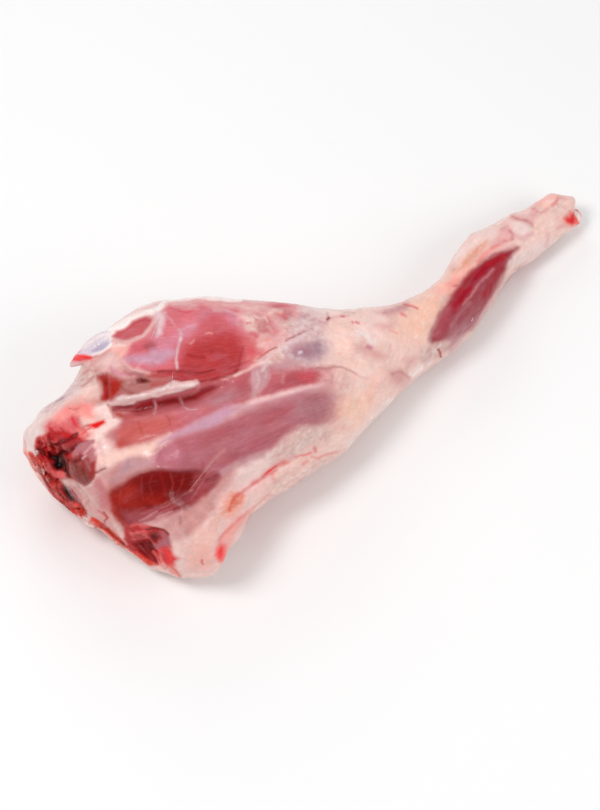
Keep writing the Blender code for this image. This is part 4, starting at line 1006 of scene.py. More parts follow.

# The darkest red lines and patches of the cut are painted shade in its creases, holes and gaps
CUT_MARKS = (
    patch(Hue.CUT_RED, (36, 438), (34, 446), (37, 452), (30, 453), (25, 457), (31, 467), (38, 474), (44, 483),
        (50, 494), (58, 504), (68, 511), (80, 518), (89, 517), (84, 508), (80, 502), (74, 500), (68, 493),
        (63, 484), (60, 480), (66, 477), (72, 480), (84, 486), (92, 480), (96, 472), (96, 455), (92, 446),
        (94, 440), (84, 439), (76, 434), (62, 431), (50, 431), (42, 436), edge=3),
    line(Hue.COOL_WHITE, 2.4, (27, 441), (30, 449), (35, 454), edge=3),
    line(Hue.SALMON, 0.8, (24, 440), (26, 448), (29, 455), (34, 463), (39, 468), strength=0.8),
    line(Hue.PALE_SALMON, 2.3, (20, 454), (24, 450), (26, 455), (30, 464), (35, 471)),
    line(Hue.COOL_WHITE, 1.8, (34, 468), (38, 476), (43, 483), edge=2.5),
    line(Hue.CUT_PINK, 4.6, (40, 441), (41, 443), edge=2.5, lift=0.6),
    line(Hue.DEEP_BLOOD, 3, (39, 442), (41, 444), edge=2.5, lift=-2.2),
    line(Hue.CUT_DARK, 1.6, (41, 443), (41, 445), edge=2.5, strength=0.7),
    line(Hue.CUT_DARK, 2.4, (38, 449), (43, 452), (46, 455), edge=2.5, lift=-2),
    line(Hue.CUT_PINK, 1.7, (46, 437), (49, 444), (50, 450), lift=0.6),
    line(Hue.CUT_PINK, 1.5, (53, 442), (57, 447), (58, 452), lift=0.6),
    line(Hue.CUT_DARK, 0.8, (51, 442), (54, 448), (56, 453), strength=0.75, lift=-0.8),
    line(Hue.DEEP_BLOOD, 1.5, (46, 447), (49, 453), (49, 459), (53, 464), edge=2.5),
    line(Hue.BLOOD, 1.2, (43, 456), (47, 462), (52, 469), (55, 473), strength=0.8),
    patch(Hue.CUT_PINK, (43, 459), (49, 462), (53, 468), (57, 473), (55, 477), (50, 475), (46, 469), edge=2,
        lift=0.9),
    patch(Hue.CUT_PINK, (56, 471), (62, 470), (68, 473), (66, 478), (60, 480), (55, 477), edge=2, lift=0.9),
    # Painted shadow: a near-black hollow in the cut
    patch(Hue.BLACK_RED, (49, 453), (55, 455), (61, 452), (62, 459), (65, 465), (63, 470), (57, 470),
        (53, 466), (54, 461), (49, 459), edge=2, lift=-4.5),
    line(Hue.CUT_ORANGE, 2.2, (30, 454), (34, 459), (39, 463), (44, 464), lift=0.7),
    line(Hue.CUT_DARK, 0.8, (31, 459), (36, 463), (42, 467), strength=0.7, lift=-0.9),
    line(Hue.CREAM_FAT, 0.9, (28, 456), (31, 463), (38, 469), (43, 471), lift=0.4),
    line(Hue.CUT_DARK, 0.9, (37, 471), (42, 472), (45, 475), strength=0.75, lift=-0.8),
    line(Hue.CUT_DARK, 1, (44, 473), (48, 474), (51, 478), (52, 483), (47, 482), (44, 478), strength=0.75,
        lift=-1),
    line(Hue.DUSTY_FAT, 1.4, (47, 477), (48, 480), lift=0.5),
    line(Hue.CUT_DARK, 1.6, (50, 474), (53, 479), (56, 484), (58, 480), strength=0.75, lift=-1.2),
    patch(Hue.CUT_ORANGE, (50, 485), (58, 483), (62, 488), (66, 498), (74, 503), (82, 506), (88, 514),
        (86, 518), (78, 517), (66, 511), (56, 502), (47, 491), edge=3),
    patch(Hue.CUT_DARK, (52, 484), (60, 484), (66, 492), (72, 502), (78, 508), (68, 508), (58, 498), edge=5,
        strength=0.35),
    line(Hue.CUT_DARK, 1.2, (46, 482), (52, 489), (60, 494), edge=3, strength=0.55, lift=-0.8),
    line(Hue.CUT_DARK, 1, (60, 500), (66, 504), (74, 512), edge=3, strength=0.5, lift=-0.8),
    line(Hue.CUT_PINK, 2, (55, 487), (60, 486), (61, 491), lift=0.8),
    line(Hue.CUT_PINK, 2, (54, 493), (60, 497), lift=0.8),
    line(Hue.CUT_PINK, 2.2, (68, 503), (74, 506), (80, 505), lift=0.8),
    line(Hue.CUT_ORANGE, 2.4, (72, 512), (80, 513), (86, 511), lift=0.8),
    line(Hue.CUT_DARK, 1, (57, 484), (58, 490), (63, 490), strength=0.75, lift=-1),
    line(Hue.CUT_DARK, 1, (62, 495), (64, 499), (68, 501), strength=0.75, lift=-1),
    line(Hue.CUT_DARK, 0.9, (74, 509), (78, 509), (80, 507), strength=0.75, lift=-1),
    line(Hue.CUT_ORANGE, 3.6, (38, 480), (46, 496), (58, 509), (72, 519), (84, 524), edge=3),
    line(Hue.PALE_SALMON, 2, (24, 452), (30, 464), (38, 477), (48, 493), edge=3, strength=0.7),
    patch(Hue.RED_MAUVE, (69, 485), (76, 488), (83, 497), (81, 501), (75, 499), (70, 492), edge=2),
    line(Hue.PINK_SKIN, 0.7, (71, 487), (77, 494), (80, 498)),
    # Painted shadow: a second near-black hollow lower in the cut
    patch(Hue.BLACK_RED, (64, 486), (68, 488), (71, 493), (76, 500), (72, 502), (68, 497), (65, 491), edge=2,
        lift=-3),
    line(Hue.CUT_DARK, 1, (74, 500), (79, 502), (83, 506), (86, 512), (91, 517), (100, 524), (108, 529),
        strength=0.75, lift=-1.2),
    line(Hue.WINE, 1.7, (56, 445), (62, 442), (70, 439), (77, 434), edge=2.5, lift=-1.2),
    patch(Hue.FLAP_RED, (58, 448), (62, 444), (70, 441), (78, 439), (83, 441), (76, 446), (70, 450),
        (64, 451), edge=2, lift=1),
    line(Hue.WINE, 2, (62, 452), (67, 452), (71, 450), (76, 446), edge=2.5, lift=-1.2),
    patch(Hue.FLAP_MAUVE, (71, 455), (76, 447), (83, 443), (92, 440), (94, 441), (90, 446), (86, 451),
        (80, 456), (73, 460), edge=2, lift=1.2),
    line(Hue.BLUE_GREY, 0.8, (76, 447), (84, 442), (93, 440), strength=0.8),
    patch(Hue.FLAP_RED, (72, 458), (80, 453), (86, 456), (94, 460), (95, 470), (91, 478), (84, 470),
        (76, 464), edge=6, strength=0.85),
    patch(Hue.FLAP_BROWN, (74, 460), (80, 455), (88, 458), (94, 462), (94, 470), (88, 474), (80, 468), edge=6,
        strength=0.55),
    line(Hue.FLAP_MAUVE, 1.4, (84, 459), (88, 464), (90, 470), edge=4, strength=0.6),
    patch(Hue.FLAP_MAUVE, (86, 455), (91, 448), (96, 449), (96, 460), (91, 462), edge=3),
    # Painted highlights: pale glints on the flap's mauve lobe
    line(Hue.FILM_PINK, 1.3, (84, 454), (88, 450), (92, 445), lift=0.4),
    line(Hue.FILM_WHITE, 0.7, (82, 459), (86, 456), strength=0.7),
    patch(Hue.FLAP_BROWN, (65, 461), (74, 462), (84, 468), (92, 476), (90, 482), (84, 485), (76, 480),
        (68, 472), edge=5, strength=0.9, lift=0.6),
    line(Hue.CUT_DARK, 1.1, (70, 460), (75, 462), (80, 460), strength=0.75, lift=-1.2),
    line(Hue.CUT_DARK, 0.6, (74, 466), (77, 473), (80, 481), strength=0.6, lift=-0.4),
    line(Hue.CUT_DARK, 0.6, (82, 468), (85, 476), (88, 482), strength=0.6, lift=-0.4),
    line(Hue.FLAP_RED, 1, (105, 468), (99, 472), (95, 473), (93, 478), (90, 482), (84, 486), strength=0.85,
        lift=-1.2),
    patch(Hue.FLAP_BROWN, (61, 450), (66, 455), (68, 462), (69, 470), (66, 475), (64, 466), (62, 458), edge=2,
        lift=0.6),
    # Painted shadow: a black line of shade under the flap's left edge
    line(Hue.BLACK_RED, 1.4, (61, 453), (63, 460), (66, 470), (70, 476), strength=0.75, lift=-1.8),
    patch(Hue.DUSTY_FAT, (66, 478), (74, 481), (84, 487), (93, 483), (100, 486), (103, 500), (108, 514),
        (116, 528), (120, 540), (112, 534), (100, 524), (90, 515), (84, 505), (80, 497), (74, 488), edge=3,
        lift=0.7),
    line(Hue.GREY_BEIGE, 0.9, (74, 484), (84, 495), (92, 506), strength=0.8),
    line(Hue.GREY_BEIGE, 0.9, (84, 489), (92, 498), (98, 506), strength=0.6),
    line(Hue.ROSE_MUSCLE, 4, (97, 484), (102, 494), (104, 506), edge=6, strength=0.6),
    patch(Hue.PINK_WHITE, (79, 517), (88, 515), (95, 520), (98, 527), (92, 529), (86, 527), edge=2.5,
        lift=0.4),
    line(Hue.CUT_ORANGE, 2.6, (92, 520), (102, 526), (112, 534), (124, 545), (136, 555), edge=3),
    line(Hue.BRICK, 1.2, (101, 526), (108, 530), (116, 538), (125, 545), lift=-0.6),
    line(Hue.CUT_ORANGE, 2, (96, 529), (110, 540), (122, 549), edge=3, strength=0.8),
    line(Hue.RUST, 1.3, (104, 513), (108, 518), (104, 522), (104, 527)),
    line(Hue.RUST, 0.8, (98, 511), (103, 514), strength=0.7),
    patch(Hue.CUT_RED, (124, 524), (134, 524), (150, 526), (160, 528), (168, 534), (170, 546), (160, 550),
        (158, 564), (146, 563), (132, 552), (124, 540), edge=3),
    line(Hue.CUT_PINK, 1, (130, 534), (138, 532), (148, 531), strength=0.7, lift=0.8),
    line(Hue.CUT_PINK, 1, (130, 526), (138, 524), (144, 527), (150, 529), strength=0.7, lift=0.6),
    patch(Hue.CUT_PINK, (131, 536), (138, 533), (148, 533), (151, 537), (142, 540), (133, 540), edge=3,
        strength=0.6, lift=0.9),
    patch(Hue.WINE, (149, 535), (156, 532), (161, 536), (158, 542), (151, 540), edge=2.5, lift=-1.6),
    patch(Hue.MAUVE_MUSCLE, (160, 531), (167, 534), (171, 542), (166, 549), (156, 550), (150, 545),
        (158, 543), (162, 538), edge=2.5, lift=0.6),
    line(Hue.WINE, 0.9, (148, 530), (156, 528), (163, 530), (168, 535), lift=-0.6),
    patch(Hue.WINE, (134, 543), (140, 541), (148, 541), (154, 547), (157, 556), (158, 563), (150, 562),
        (142, 556), edge=2.5, strength=0.8, lift=-1.2),
    line(Hue.WINE, 1.2, (150, 542), (154, 549), (157, 557), (158, 563)),
    line(Hue.FLAP_RED, 1.2, (140, 545), (146, 552), (152, 560), strength=0.8, lift=0.5),
    line(Hue.FLAP_RED, 1, (146, 544), (150, 551), (154, 559), strength=0.7, lift=0.5),
    patch(Hue.CUT_ORANGE, (130, 550), (138, 553), (148, 560), (158, 565), (150, 567), (138, 560), edge=2.5),
    line(Hue.PALE_PINK, 1.8, (126, 551), (138, 561), (150, 569), (162, 574), edge=2.5),
    patch(Hue.BLOOD, (157, 549), (164, 546), (171, 547), (173, 554), (179, 558), (175, 565), (167, 567),
        (160, 560), edge=3),
    line(Hue.BRIGHT_RED, 1.4, (162, 550), (168, 553), (172, 560), edge=2.5, strength=0.6),
    line(Hue.DEEP_BLOOD, 1.2, (163, 552), (165, 560), edge=3, strength=0.6),
    line(Hue.CUT_PINK, 1.5, (154, 552), (158, 557), (161, 562)),
    line(Hue.DEEP_SALMON, 1.1, (159, 563), (163, 567), (166, 569), edge=2.5, strength=0.7),
    line(Hue.CUT_ORANGE, 1.3, (25, 453), (30, 461), (36, 470), edge=3, strength=0.6),
)

VEIN_MARKS = (
    line(Hue.CRIMSON, 0.6, (258, 359), (268, 352), (276, 347), edge=1.8, strength=0.9),
    line(Hue.BLOOD, 0.6, (262, 356), (268, 352), edge=1.4, strength=0.6),
    line(Hue.CRIMSON, 0.7, (286, 341), (294, 337), (304, 332), strength=0.95),
    line(Hue.CRIMSON, 0.4, (304, 332), (313, 328), edge=1.6, strength=0.5),
    line(Hue.FILM_WHITE, 2, (262, 362), (276, 352), (290, 343), (304, 336), edge=5, strength=0.5),
    line(Hue.FILM_WHITE, 0.9, (288, 316), (294, 324), (304, 322), (312, 316), edge=3, strength=0.5),
    line(Hue.FILM_WHITE, 0.9, (296, 338), (306, 334), (316, 330), (322, 322), edge=3, strength=0.45),
    line(Hue.BRIGHT_RED, 0.6, (296, 458), (304, 455), (312, 452), edge=1.6, strength=0.8),
    line(Hue.BRIGHT_RED, 0.8, (264, 475), (270, 470), (276, 467), edge=1.8, strength=0.8),
    line(Hue.BLOOD, 0.6, (266, 474), (272, 469), (277, 466), edge=1.4, strength=0.7),
)

# All marks, from the lowest to the uppermost
MARKS = (
    BASE_MARKS + BUTT_MARKS + RUMP_MARKS + LEDGE_MARKS + END_MARKS + FAN_MARKS + MIDDLE_MARKS + KNEE_MARKS
    + SHANK_MARKS + CUT_MARKS + VEIN_MARKS
)

# The relief that goes with no mark: seams, ridges and the edges of hollows

RISES = (
    Rise(1.1, 3.2, ((104, 344), (124, 323), (152, 311)), 3),
    Rise(-1.1, 1.8, ((146, 373), (176, 372), (218, 374), (264, 358))),
    Rise(0.8, 3.0, ((98, 480), (112, 492), (133, 478), (150, 470), (200, 470)), 3),
    Rise(-0.6, 10.0, ((128, 498), (194, 484))),
    Rise(2.4, 9.0, ((78, 460), (84, 470))),
    Rise(-1.0, 3.0, ((92, 484), (102, 476), (102, 456))),
    Rise(-0.9, 3.0, ((214, 560), (222, 530), (250, 505), (290, 474))),
    Rise(1.1, 7.0, ((226, 552), (240, 522))),
    Rise(-0.7, 2.0, ((236, 500), (262, 479), (296, 458), (330, 446))),
    Rise(0.8, 6.0, ((270, 492), (330, 454))),
    Rise(0.8, 6.0, ((330, 366), (344, 378))),
    Rise(-0.8, 2.0, ((430, 350), (434, 326), (452, 290), (484, 258), (516, 246))),
    Rise(0.6, 4.0, ((440, 340), (470, 300), (500, 264))),
    Rise(-0.5, 1.0, ((450, 322), (480, 278), (502, 260))),
    Rise(-0.7, 2.0, ((464, 262), (484, 238))),
)

# Small corrections of the outline
PULLS = (
    Pull((568, 202), (8.0, -5.0), 9.0),
    Pull((540, 196), (1.5, 3.0), 10.0),
    Pull((471, 232), (-3.0, -2.5), 8.0),
    Pull((513, 215), (-1.5, -2.0), 9.0),
    Pull((493, 303), (2.5, 2.0), 9.0),
    Pull((225, 571), (-1.6, -2.2), 9.0),
    Pull((180, 577), (0.0, 3.6), 13.0),
    Pull((240, 536), (3.4, 1.0), 13.0),
    Pull((209, 577), (0.0, -1.8), 7.0),
    Pull((152, 566), (-1.5, 4.0), 14.0),
    Pull((104, 535), (1.5, -3.0), 12.0),
    Pull((21, 454), (-3.5, 0.0), 6.0),
    Pull((86, 526), (-1.0, 3.0), 5.0),
    Pull((30, 423), (2.5, 2.0), 11.0),
    Pull((182, 297), (0.0, 1.4), 12.0),
    Pull((214, 297), (0.0, -1.2), 12.0),
    Pull((345, 310), (0.0, 2.0), 14.0),
)

# The directions of the fibres, one line for each muscle
FIBRES = (
    ((120, 366), (170, 352), (230, 350), (270, 352)),
    ((110, 440), (180, 418), (250, 392), (335, 366)),
    ((150, 466), (210, 448), (270, 424), (340, 398)),
    ((112, 512), (150, 490), (210, 466)),
    ((430, 350), (452, 312), (484, 276), (516, 250)),
    ((148, 380), (200, 379), (262, 362)),
)

# The torn face of the cut
TORN = patch(Hue.CUT_RED, (36, 438), (34, 446), (30, 453), (31, 467), (38, 474), (44, 483), (50, 494),
        (58, 504), (68, 511), (80, 518), (89, 517), (84, 508), (74, 500), (66, 488), (60, 480), (56, 470),
        (58, 455), (60, 445), (58, 434), (50, 431), (42, 436))

# Hollows whose walls turn away from the camera, and are painted all the same
POCKETS = (
    patch(Hue.CUT_RED, (30, 436), (60, 430), (98, 436), (108, 470), (94, 488), (108, 504), (124, 522),
        (172, 526), (182, 560), (160, 570), (120, 554), (60, 514), (26, 470), edge=3),
    patch(Hue.BRICK, (96, 372), (126, 376), (124, 396), (108, 404), (98, 402), edge=3),
    patch(Hue.DARK_RED, (108, 404), (150, 392), (200, 380), (222, 382), (214, 394), (140, 418), (108, 416),
        edge=3),
    patch(Hue.PATCH_RED, (104, 480), (150, 462), (222, 468), (224, 480), (180, 520), (126, 530), edge=3),
)

# The hues of the torn bundles of meat, and how much the painted shade in a crease takes off red, green and
# blue
BUNDLE_HUES = (
    Hue.WINE, Hue.CUT_RED, Hue.CUT_ORANGE, Hue.FLAP_RED, Hue.CUT_RED, Hue.CUT_ORANGE, Hue.CUT_PINK,
    Hue.BRICK,
)
CREASE_SHADE = np.array([0.22, 0.45, 0.45])

# Where the fat lies in lumps, and how high they are
LUMPS = Rise(1.2, 14.0, ((252, 326), (268, 334), (286, 328), (296, 336)), 4.0)


class Signal:
    """A socket of a node tree, with arithmetic that adds Math nodes."""

    def __init__(self, recipe: "Recipe", socket: bpy.types.NodeSocket) -> None:
        """Wrap an output socket of the recipe's tree."""
        self.recipe = recipe
        self.socket = socket

    def _math(self, operation: str, first: object, second: object) -> "Signal":
        """One Math node on two values or links."""
        made = self.recipe.node("ShaderNodeMath", {"operation": operation}, {0: first, 1: second})
        return Signal(self.recipe, made.outputs[0])

    def __add__(self, other: object) -> "Signal":
        """This plus a number or link."""
        return self._math("ADD", self, other)

    __radd__ = __add__

    def __sub__(self, other: object) -> "Signal":
        """This less a number or link."""
        return self._math("SUBTRACT", self, other)

    def __rsub__(self, other: object) -> "Signal":
        """A number less this."""
        return self._math("SUBTRACT", other, self)

    def __mul__(self, other: object) -> "Signal":
        """This times a number or link."""
        return self._math("MULTIPLY", self, other)

    __rmul__ = __mul__

    def step(self, low: float, high: float) -> "Signal":
        """A smooth step.

        Args:
            low: the value where it is 0.
            high: the value where it is 1.

        Returns:
            The step from 0 to 1.
        """
        settings = {"interpolation_type": "SMOOTHSTEP"}
        inputs = {"Value": self, "From Min": low, "From Max": high}
        return Signal(self.recipe, self.recipe.node("ShaderNodeMapRange", settings, inputs).outputs[0])


class Recipe:
    """A material's node tree while it is put together."""

    def __init__(self, name: str) -> None:
        """Start a material with its Principled BSDF."""
        self.material = bpy.data.materials.new(name)
        self.material.use_nodes = True
        self.tree = self.material.node_tree
        self.shader = self.tree.nodes["Principled BSDF"]
        self.position = self.node("ShaderNodeTexCoord").outputs["Object"]

    def node(self, kind: str, settings: dict | None = None, inputs: dict | None = None) -> bpy.types.Node:
        """Add a node.

        Args:
            kind: the node's type.
            settings: values of its properties, set first.
            inputs: values or links of its sockets, by name or number.

        Returns:
            The new node.
        """
        made = self.tree.nodes.new(kind)
        for name, value in (settings or {}).items():
            setattr(made, name, value)
        for key, value in (inputs or {}).items():
            self.feed(made.inputs[key], value)
        return made

    def feed(self, socket: bpy.types.NodeSocket, value: object) -> None:
        """Link a signal or socket to an input, or set a plain value on it.

        Args:
            socket: the input.
            value: a signal, an output socket or a plain value.
        """
        if isinstance(value, Signal):
            value = value.socket
        if isinstance(value, bpy.types.NodeSocket):
            self.tree.links.new(value, socket)
        else:
            socket.default_value = value

    def noise(self, size: float, detail: float, roughness: float = 0.55, vector: object = None) -> Signal:
        """Add noise from 0 to 1.

        Args:
            size: about how large its bumps are.
            detail: how many finer layers it has.
            roughness: how strong the finer layers are.
            vector: where it is read, the place on the object where none is given.

        Returns:
            The noise.
        """
        where = self.position if vector is None else vector
        inputs = {"Vector": where, "Scale": 1 / size, "Detail": detail, "Roughness": roughness}
        return Signal(self, self.node("ShaderNodeTexNoise", {}, inputs).outputs["Fac"])

    def cells(self, size: float, feature: str) -> Signal:
        """Add a pattern of cells.

        Args:
            size: about how large a cell is.
            feature: which distance is measured in it.

        Returns:
            The distance.
        """
        inputs = {"Vector": self.position, "Scale": 1 / size}
        made = self.node("ShaderNodeTexVoronoi", {"feature": feature}, inputs)
        return Signal(self, made.outputs["Distance"])

    def attribute(self, name: str, output: str) -> bpy.types.NodeSocket:
        """An output of the node that reads a named attribute."""
        return self.node("ShaderNodeAttribute", {"attribute_name": name}).outputs[output]

    def split(self, vector: object) -> tuple[Signal, ...]:
        """A vector's three parts."""
        made = self.node("ShaderNodeSeparateXYZ", {}, {"Vector": vector})
        return tuple(Signal(self, part) for part in made.outputs)

    def scaled(self, vector: object, scale: tuple[float, float, float]) -> bpy.types.NodeSocket:
        """A vector multiplied part by part."""
        return self.node("ShaderNodeVectorMath", {"operation": "MULTIPLY"}, {0: vector, 1: scale}).outputs[0]

    def lay(self, share: object, colour: object, over: Hue | Shade) -> bpy.types.NodeSocket:
        """Cover a colour with a hue, or darken it with a shade.

        Args:
            share: how much of it, from 0 to 1.
            colour: the colour below.
            over: what is laid on it.

        Returns:
            The new colour.
        """
        settings = {"data_type": "RGBA", "blend_type": "MULTIPLY" if isinstance(over, Shade) else "MIX"}
        inputs = {"Factor": share, "A": colour, "B": over.shader()}
        return self.node("ShaderNodeMix", settings, inputs).outputs["Result"]

    def bump(self, height: object, distance: float) -> None:
        """Feed the shader's normal from a height in units of distance."""
        made = self.node("ShaderNodeBump", {}, {"Height": height, "Distance": distance})
        self.feed(self.shader.inputs["Normal"], made.outputs["Normal"])

    def finish(self, **values: object) -> bpy.types.Material:
        """Set or link the shader's sockets.

        Args:
            values: their values or links, under their names with _ for spaces.

        Returns:
            The finished material.
        """
        for name, value in values.items():
            self.feed(self.shader.inputs[name.replace("_", " ")], value)
        return self.material


@dataclass(frozen=True)
class Layer:
    """Colour that shows where a pattern of the meat's grain rises.

    Attributes:
        pattern: the pattern's name.
        span: its values where the layer starts and is full, or none where the pattern is the share.
        tissue: the tissue that has the layer, or nothing for all of them.
        amount: how much of the layer shows at most.
        over: its hue or shade.
    """

    pattern: str
    span: Span | None
    tissue: str
    amount: float
    over: Hue | Shade


@dataclass(frozen=True)
class MeatFinish:
    """Wet raw meat: its colours come from the mesh, its grain from the kind of tissue.

    Fibres and strings are measured in millimetres along and across the muscles, all else in
    metres on the object.
    """

    fibre_size: float = 1.1
    fibre_stretch: tuple[float, float, float] = (0.14, 1.0, 1.0)
    string_size: float = 1.7
    string_stretch: tuple[float, float, float] = (0.30, 1.0, 1.0)
    lobule_size: float = 2.6 * MM
    mottle_size: float = 5.0 * MM
    blotch_size: float = 11 * MM
    speck_size: float = 0.8 * MM
    crumb_size: float = 1.7 * MM
    shred_size: float = 2.8 * MM
    haze_size: float = 16 * MM
    haze_stretch: tuple[float, float, float] = (0.7, 1.3, 1.0)
    vein_size: float = 9 * MM
    vein_width: float = 0.03
    vein_gaps: float = 14 * MM
    vein_gap_span: Span = (0.52, 0.66)
    layers: tuple[Layer, ...] = (
        Layer("fibres", (0.40, 0.72), "lean", 0.26, Shade.FIBRE),
        Layer("fibres", (0.48, 0.26), "lean", 0.10, Hue.FILM_PINK),
        # The film over the muscles, with a painted lavender sheen
        Layer("haze", (0.50, 0.72), "muscle", 0.14, Hue.LAVENDER),
        Layer("blotch", (0.52, 0.30), "", 0.20, Shade.BLOTCH),
        Layer("mottle", (0.5, 0.25), "", 0.10, Shade.MOTTLE),
        Layer("haze", (0.45, 0.72), "fat", 0.20, Hue.WHITE_FAT),
        Layer("strings", (0.50, 0.66), "greasy", 0.26, Hue.WHITE_FAT),
        Layer("strings", (0.42, 0.28), "greasy", 0.18, Hue.PINK_SKIN),
        Layer("veins", None, "fat", 0.22, Hue.DEEP_SALMON),
        Layer("crumbs", (0.54, 0.68), "scruff", 0.30, Hue.WHITE_FAT),
        # Painted shade: darker where the crumbs' bumps are low
        Layer("crumbs", (0.46, 0.32), "scruff", 0.25, Shade.CRUMB),
        Layer("shreds", (0.48, 0.32), "cut", 0.30, Shade.SHRED),
        Layer("shreds", (0.58, 0.72), "cut", 0.26, Hue.CUT_ORANGE),
    )
    bumps: tuple[tuple[str, str, float], ...] = (
        ("fibres", "lean", 0.30), ("lobules", "fat", 0.30), ("strings", "greasy", 0.5),
        ("shreds", "cut", 2.4), ("crumbs", "scruff", 1.2), ("mottle", "", 0.6), ("speck", "", 0.12),
    )
    depth: float = 0.5 * MM
    roughness: float = 0.36
    fat_roughness: float = 0.03
    cut_smoothness: float = 0.08
    mottle_roughness: float = 0.24
    coat: float = 0.03
    fat_coat: float = 0.48
    muscle_coat: float = 0.16
    shred_coat: float = 0.6
    shred_coat_span: Span = (0.52, 0.70)

    def material(self) -> bpy.types.Material:
        """Put the material together.

        Returns:
            The finished material.
        """
        recipe = Recipe("wet_meat")
        colour = recipe.attribute("tint", "Color")
        fat, muscle, cut = recipe.split(recipe.attribute("tissue", "Vector"))
        scruff = Signal(recipe, recipe.attribute("scruff", "Fac"))
        calm = Signal(recipe, recipe.attribute("calm", "Fac"))
        tissues = {
            "fat": fat, "greasy": fat * calm, "muscle": muscle, "lean": muscle * calm, "cut": cut,
            "scruff": scruff,
        }
        patterns = self._patterns(recipe)
        for layer in self.layers:
            share = patterns[layer.pattern]
            share = share.step(*layer.span) if layer.span else share
            share = (share * tissues[layer.tissue] if layer.tissue else share) * layer.amount
            colour = recipe.lay(share, colour, layer.over)
        height = 0
        for pattern, tissue, amount in self.bumps:
            part = patterns[pattern] * tissues[tissue] if tissue else patterns[pattern]
            height = part * amount + height
        recipe.bump(height, self.depth)
        roughness = self.roughness + fat * self.fat_roughness - cut * self.cut_smoothness
        roughness = roughness + (patterns["mottle"] - 0.5) * self.mottle_roughness
        coat = self.coat + fat * self.fat_coat + muscle * self.muscle_coat
        coat = coat + patterns["shreds"].step(*self.shred_coat_span) * cut * self.shred_coat
        return recipe.finish(
            Base_Color=colour, Roughness=roughness, Coat_Roughness=0.10, Coat_Weight=coat,
            Subsurface_Weight=0.18, Subsurface_Radius=(1.0, 0.35, 0.25), Subsurface_Scale=2.5 * MM,
            Specular_IOR_Level=0.09,
        )

    def _patterns(self, recipe: Recipe) -> dict[str, Signal]:
        """Add the patterns that the meat's grain is made of.

        Args:
            recipe: the material.

        Returns:
            The patterns by name.
        """
        grain = recipe.attribute("grain", "Vector")
        lines = 1 - recipe.cells(self.vein_size, "DISTANCE_TO_EDGE").step(0.0, self.vein_width)
        return {
            "fibres": recipe.noise(self.fibre_size, 3, 0.6, recipe.scaled(grain, self.fibre_stretch)),
            "strings": recipe.noise(self.string_size, 4, 0.65, recipe.scaled(grain, self.string_stretch)),
            "lobules": recipe.cells(self.lobule_size, "SMOOTH_F1"),
            "mottle": recipe.noise(self.mottle_size, 4),
            "blotch": recipe.noise(self.blotch_size, 4, 0.6),
            "speck": recipe.noise(self.speck_size, 2),
            "crumbs": recipe.noise(self.crumb_size, 5, 0.7),
            "shreds": recipe.noise(self.shred_size, 5, 0.65),
            "haze": recipe.noise(self.haze_size, 3, 0.6, recipe.scaled(recipe.position, self.haze_stretch)),
            "veins": lines * recipe.noise(self.vein_gaps, 2).step(*self.vein_gap_span),
        }


@dataclass(frozen=True)
class StrandFinish:
    """Wet strands, shreds and bone, whose colour comes from the mesh."""

    name: str
    ripple_size: float = 1.4 * MM
    roughness: float = 0.3
    ripple: Layer = Layer("ripple", (0.6, 0.35), "", 0.3, Shade.RIPPLE)
    ripple_height: float = 0.4 * MM
    ripple_roughness: float = 0.2

    def material(self) -> bpy.types.Material:
        """Put the material together.

        Returns:
            The finished material.
        """
        recipe = Recipe(self.name)
        ripple = recipe.noise(self.ripple_size, 4)
        share = ripple.step(*self.ripple.span) * self.ripple.amount
        colour = recipe.lay(share, recipe.attribute("tint", "Color"), self.ripple.over)
        recipe.bump(ripple, self.ripple_height)
        return recipe.finish(
            Base_Color=colour, Roughness=self.roughness + (ripple - 0.5) * self.ripple_roughness,
            Coat_Weight=0.3, Coat_Roughness=0.12, Subsurface_Weight=0.15, Subsurface_Radius=(1.0, 0.4, 0.3),
            Subsurface_Scale=1.5 * MM,
        )


@dataclass(frozen=True)
class FloorFinish:
    """A plain pale floor."""

    brightness: float = 0.92
    roughness: float = 0.9
    reflection: float = 0.1

    def material(self) -> bpy.types.Material:
        """Put the material together.

        Returns:
            The finished material.
        """
        recipe = Recipe("pale_floor")
        colour = (self.brightness,) * 3 + (1.0,)
        return recipe.finish(Base_Color=colour, Roughness=self.roughness, Specular_IOR_Level=self.reflection)


def select_only(*objects: bpy.types.Object) -> None:
    """Select these objects alone, with the first one active.

    Args:
        objects: the objects, or none to deselect everything.
    """
    bpy.ops.object.select_all(action="DESELECT")
    for obj in objects:
        obj.select_set(True)
    if objects:
        bpy.context.view_layer.objects.active = objects[0]


def apply_modifier(obj: bpy.types.Object, kind: str, **settings: object) -> None:
    """Add a modifier and apply it at once.

    Args:
        obj: the object that is changed.
        kind: the modifier's type.
        settings: values of its properties.
    """
    select_only(obj)
    modifier = obj.modifiers.new(kind.lower(), kind)
    for name, value in settings.items():
        setattr(modifier, name, value)
    bpy.ops.object.modifier_apply(modifier=modifier.name)


def node_copy(node: str, name: str) -> bpy.types.Object:
    """Copy a solid of the frame with a mesh of its own.

    Args:
        node: the solid's name.
        name: the copy's name.

    Returns:
        The copy.
    """
    copy = bpy.data.objects.new(name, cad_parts[node].data.copy())
    copy.data.name = name
    bpy.context.scene.collection.objects.link(copy)
    return copy


def remeshed(piece: bpy.types.Object, voxel: float, smoothing: int) -> None:
    """Join a copy's loose triangles, and make it one fine smooth skin.

    Args:
        piece: the copy.
        voxel: the size of the skin's faces.
        smoothing: how often it is smoothed.
    """
    select_only(piece)
    bpy.ops.object.mode_set(mode="EDIT")
    bpy.ops.mesh.select_all(action="SELECT")
    bpy.ops.mesh.remove_doubles(threshold=MERGE_GAP)
    bpy.ops.object.mode_set(mode="OBJECT")
    apply_modifier(piece, "REMESH", mode="VOXEL", voxel_size=voxel)
    apply_modifier(piece, "SMOOTH", factor=0.5, iterations=smoothing)


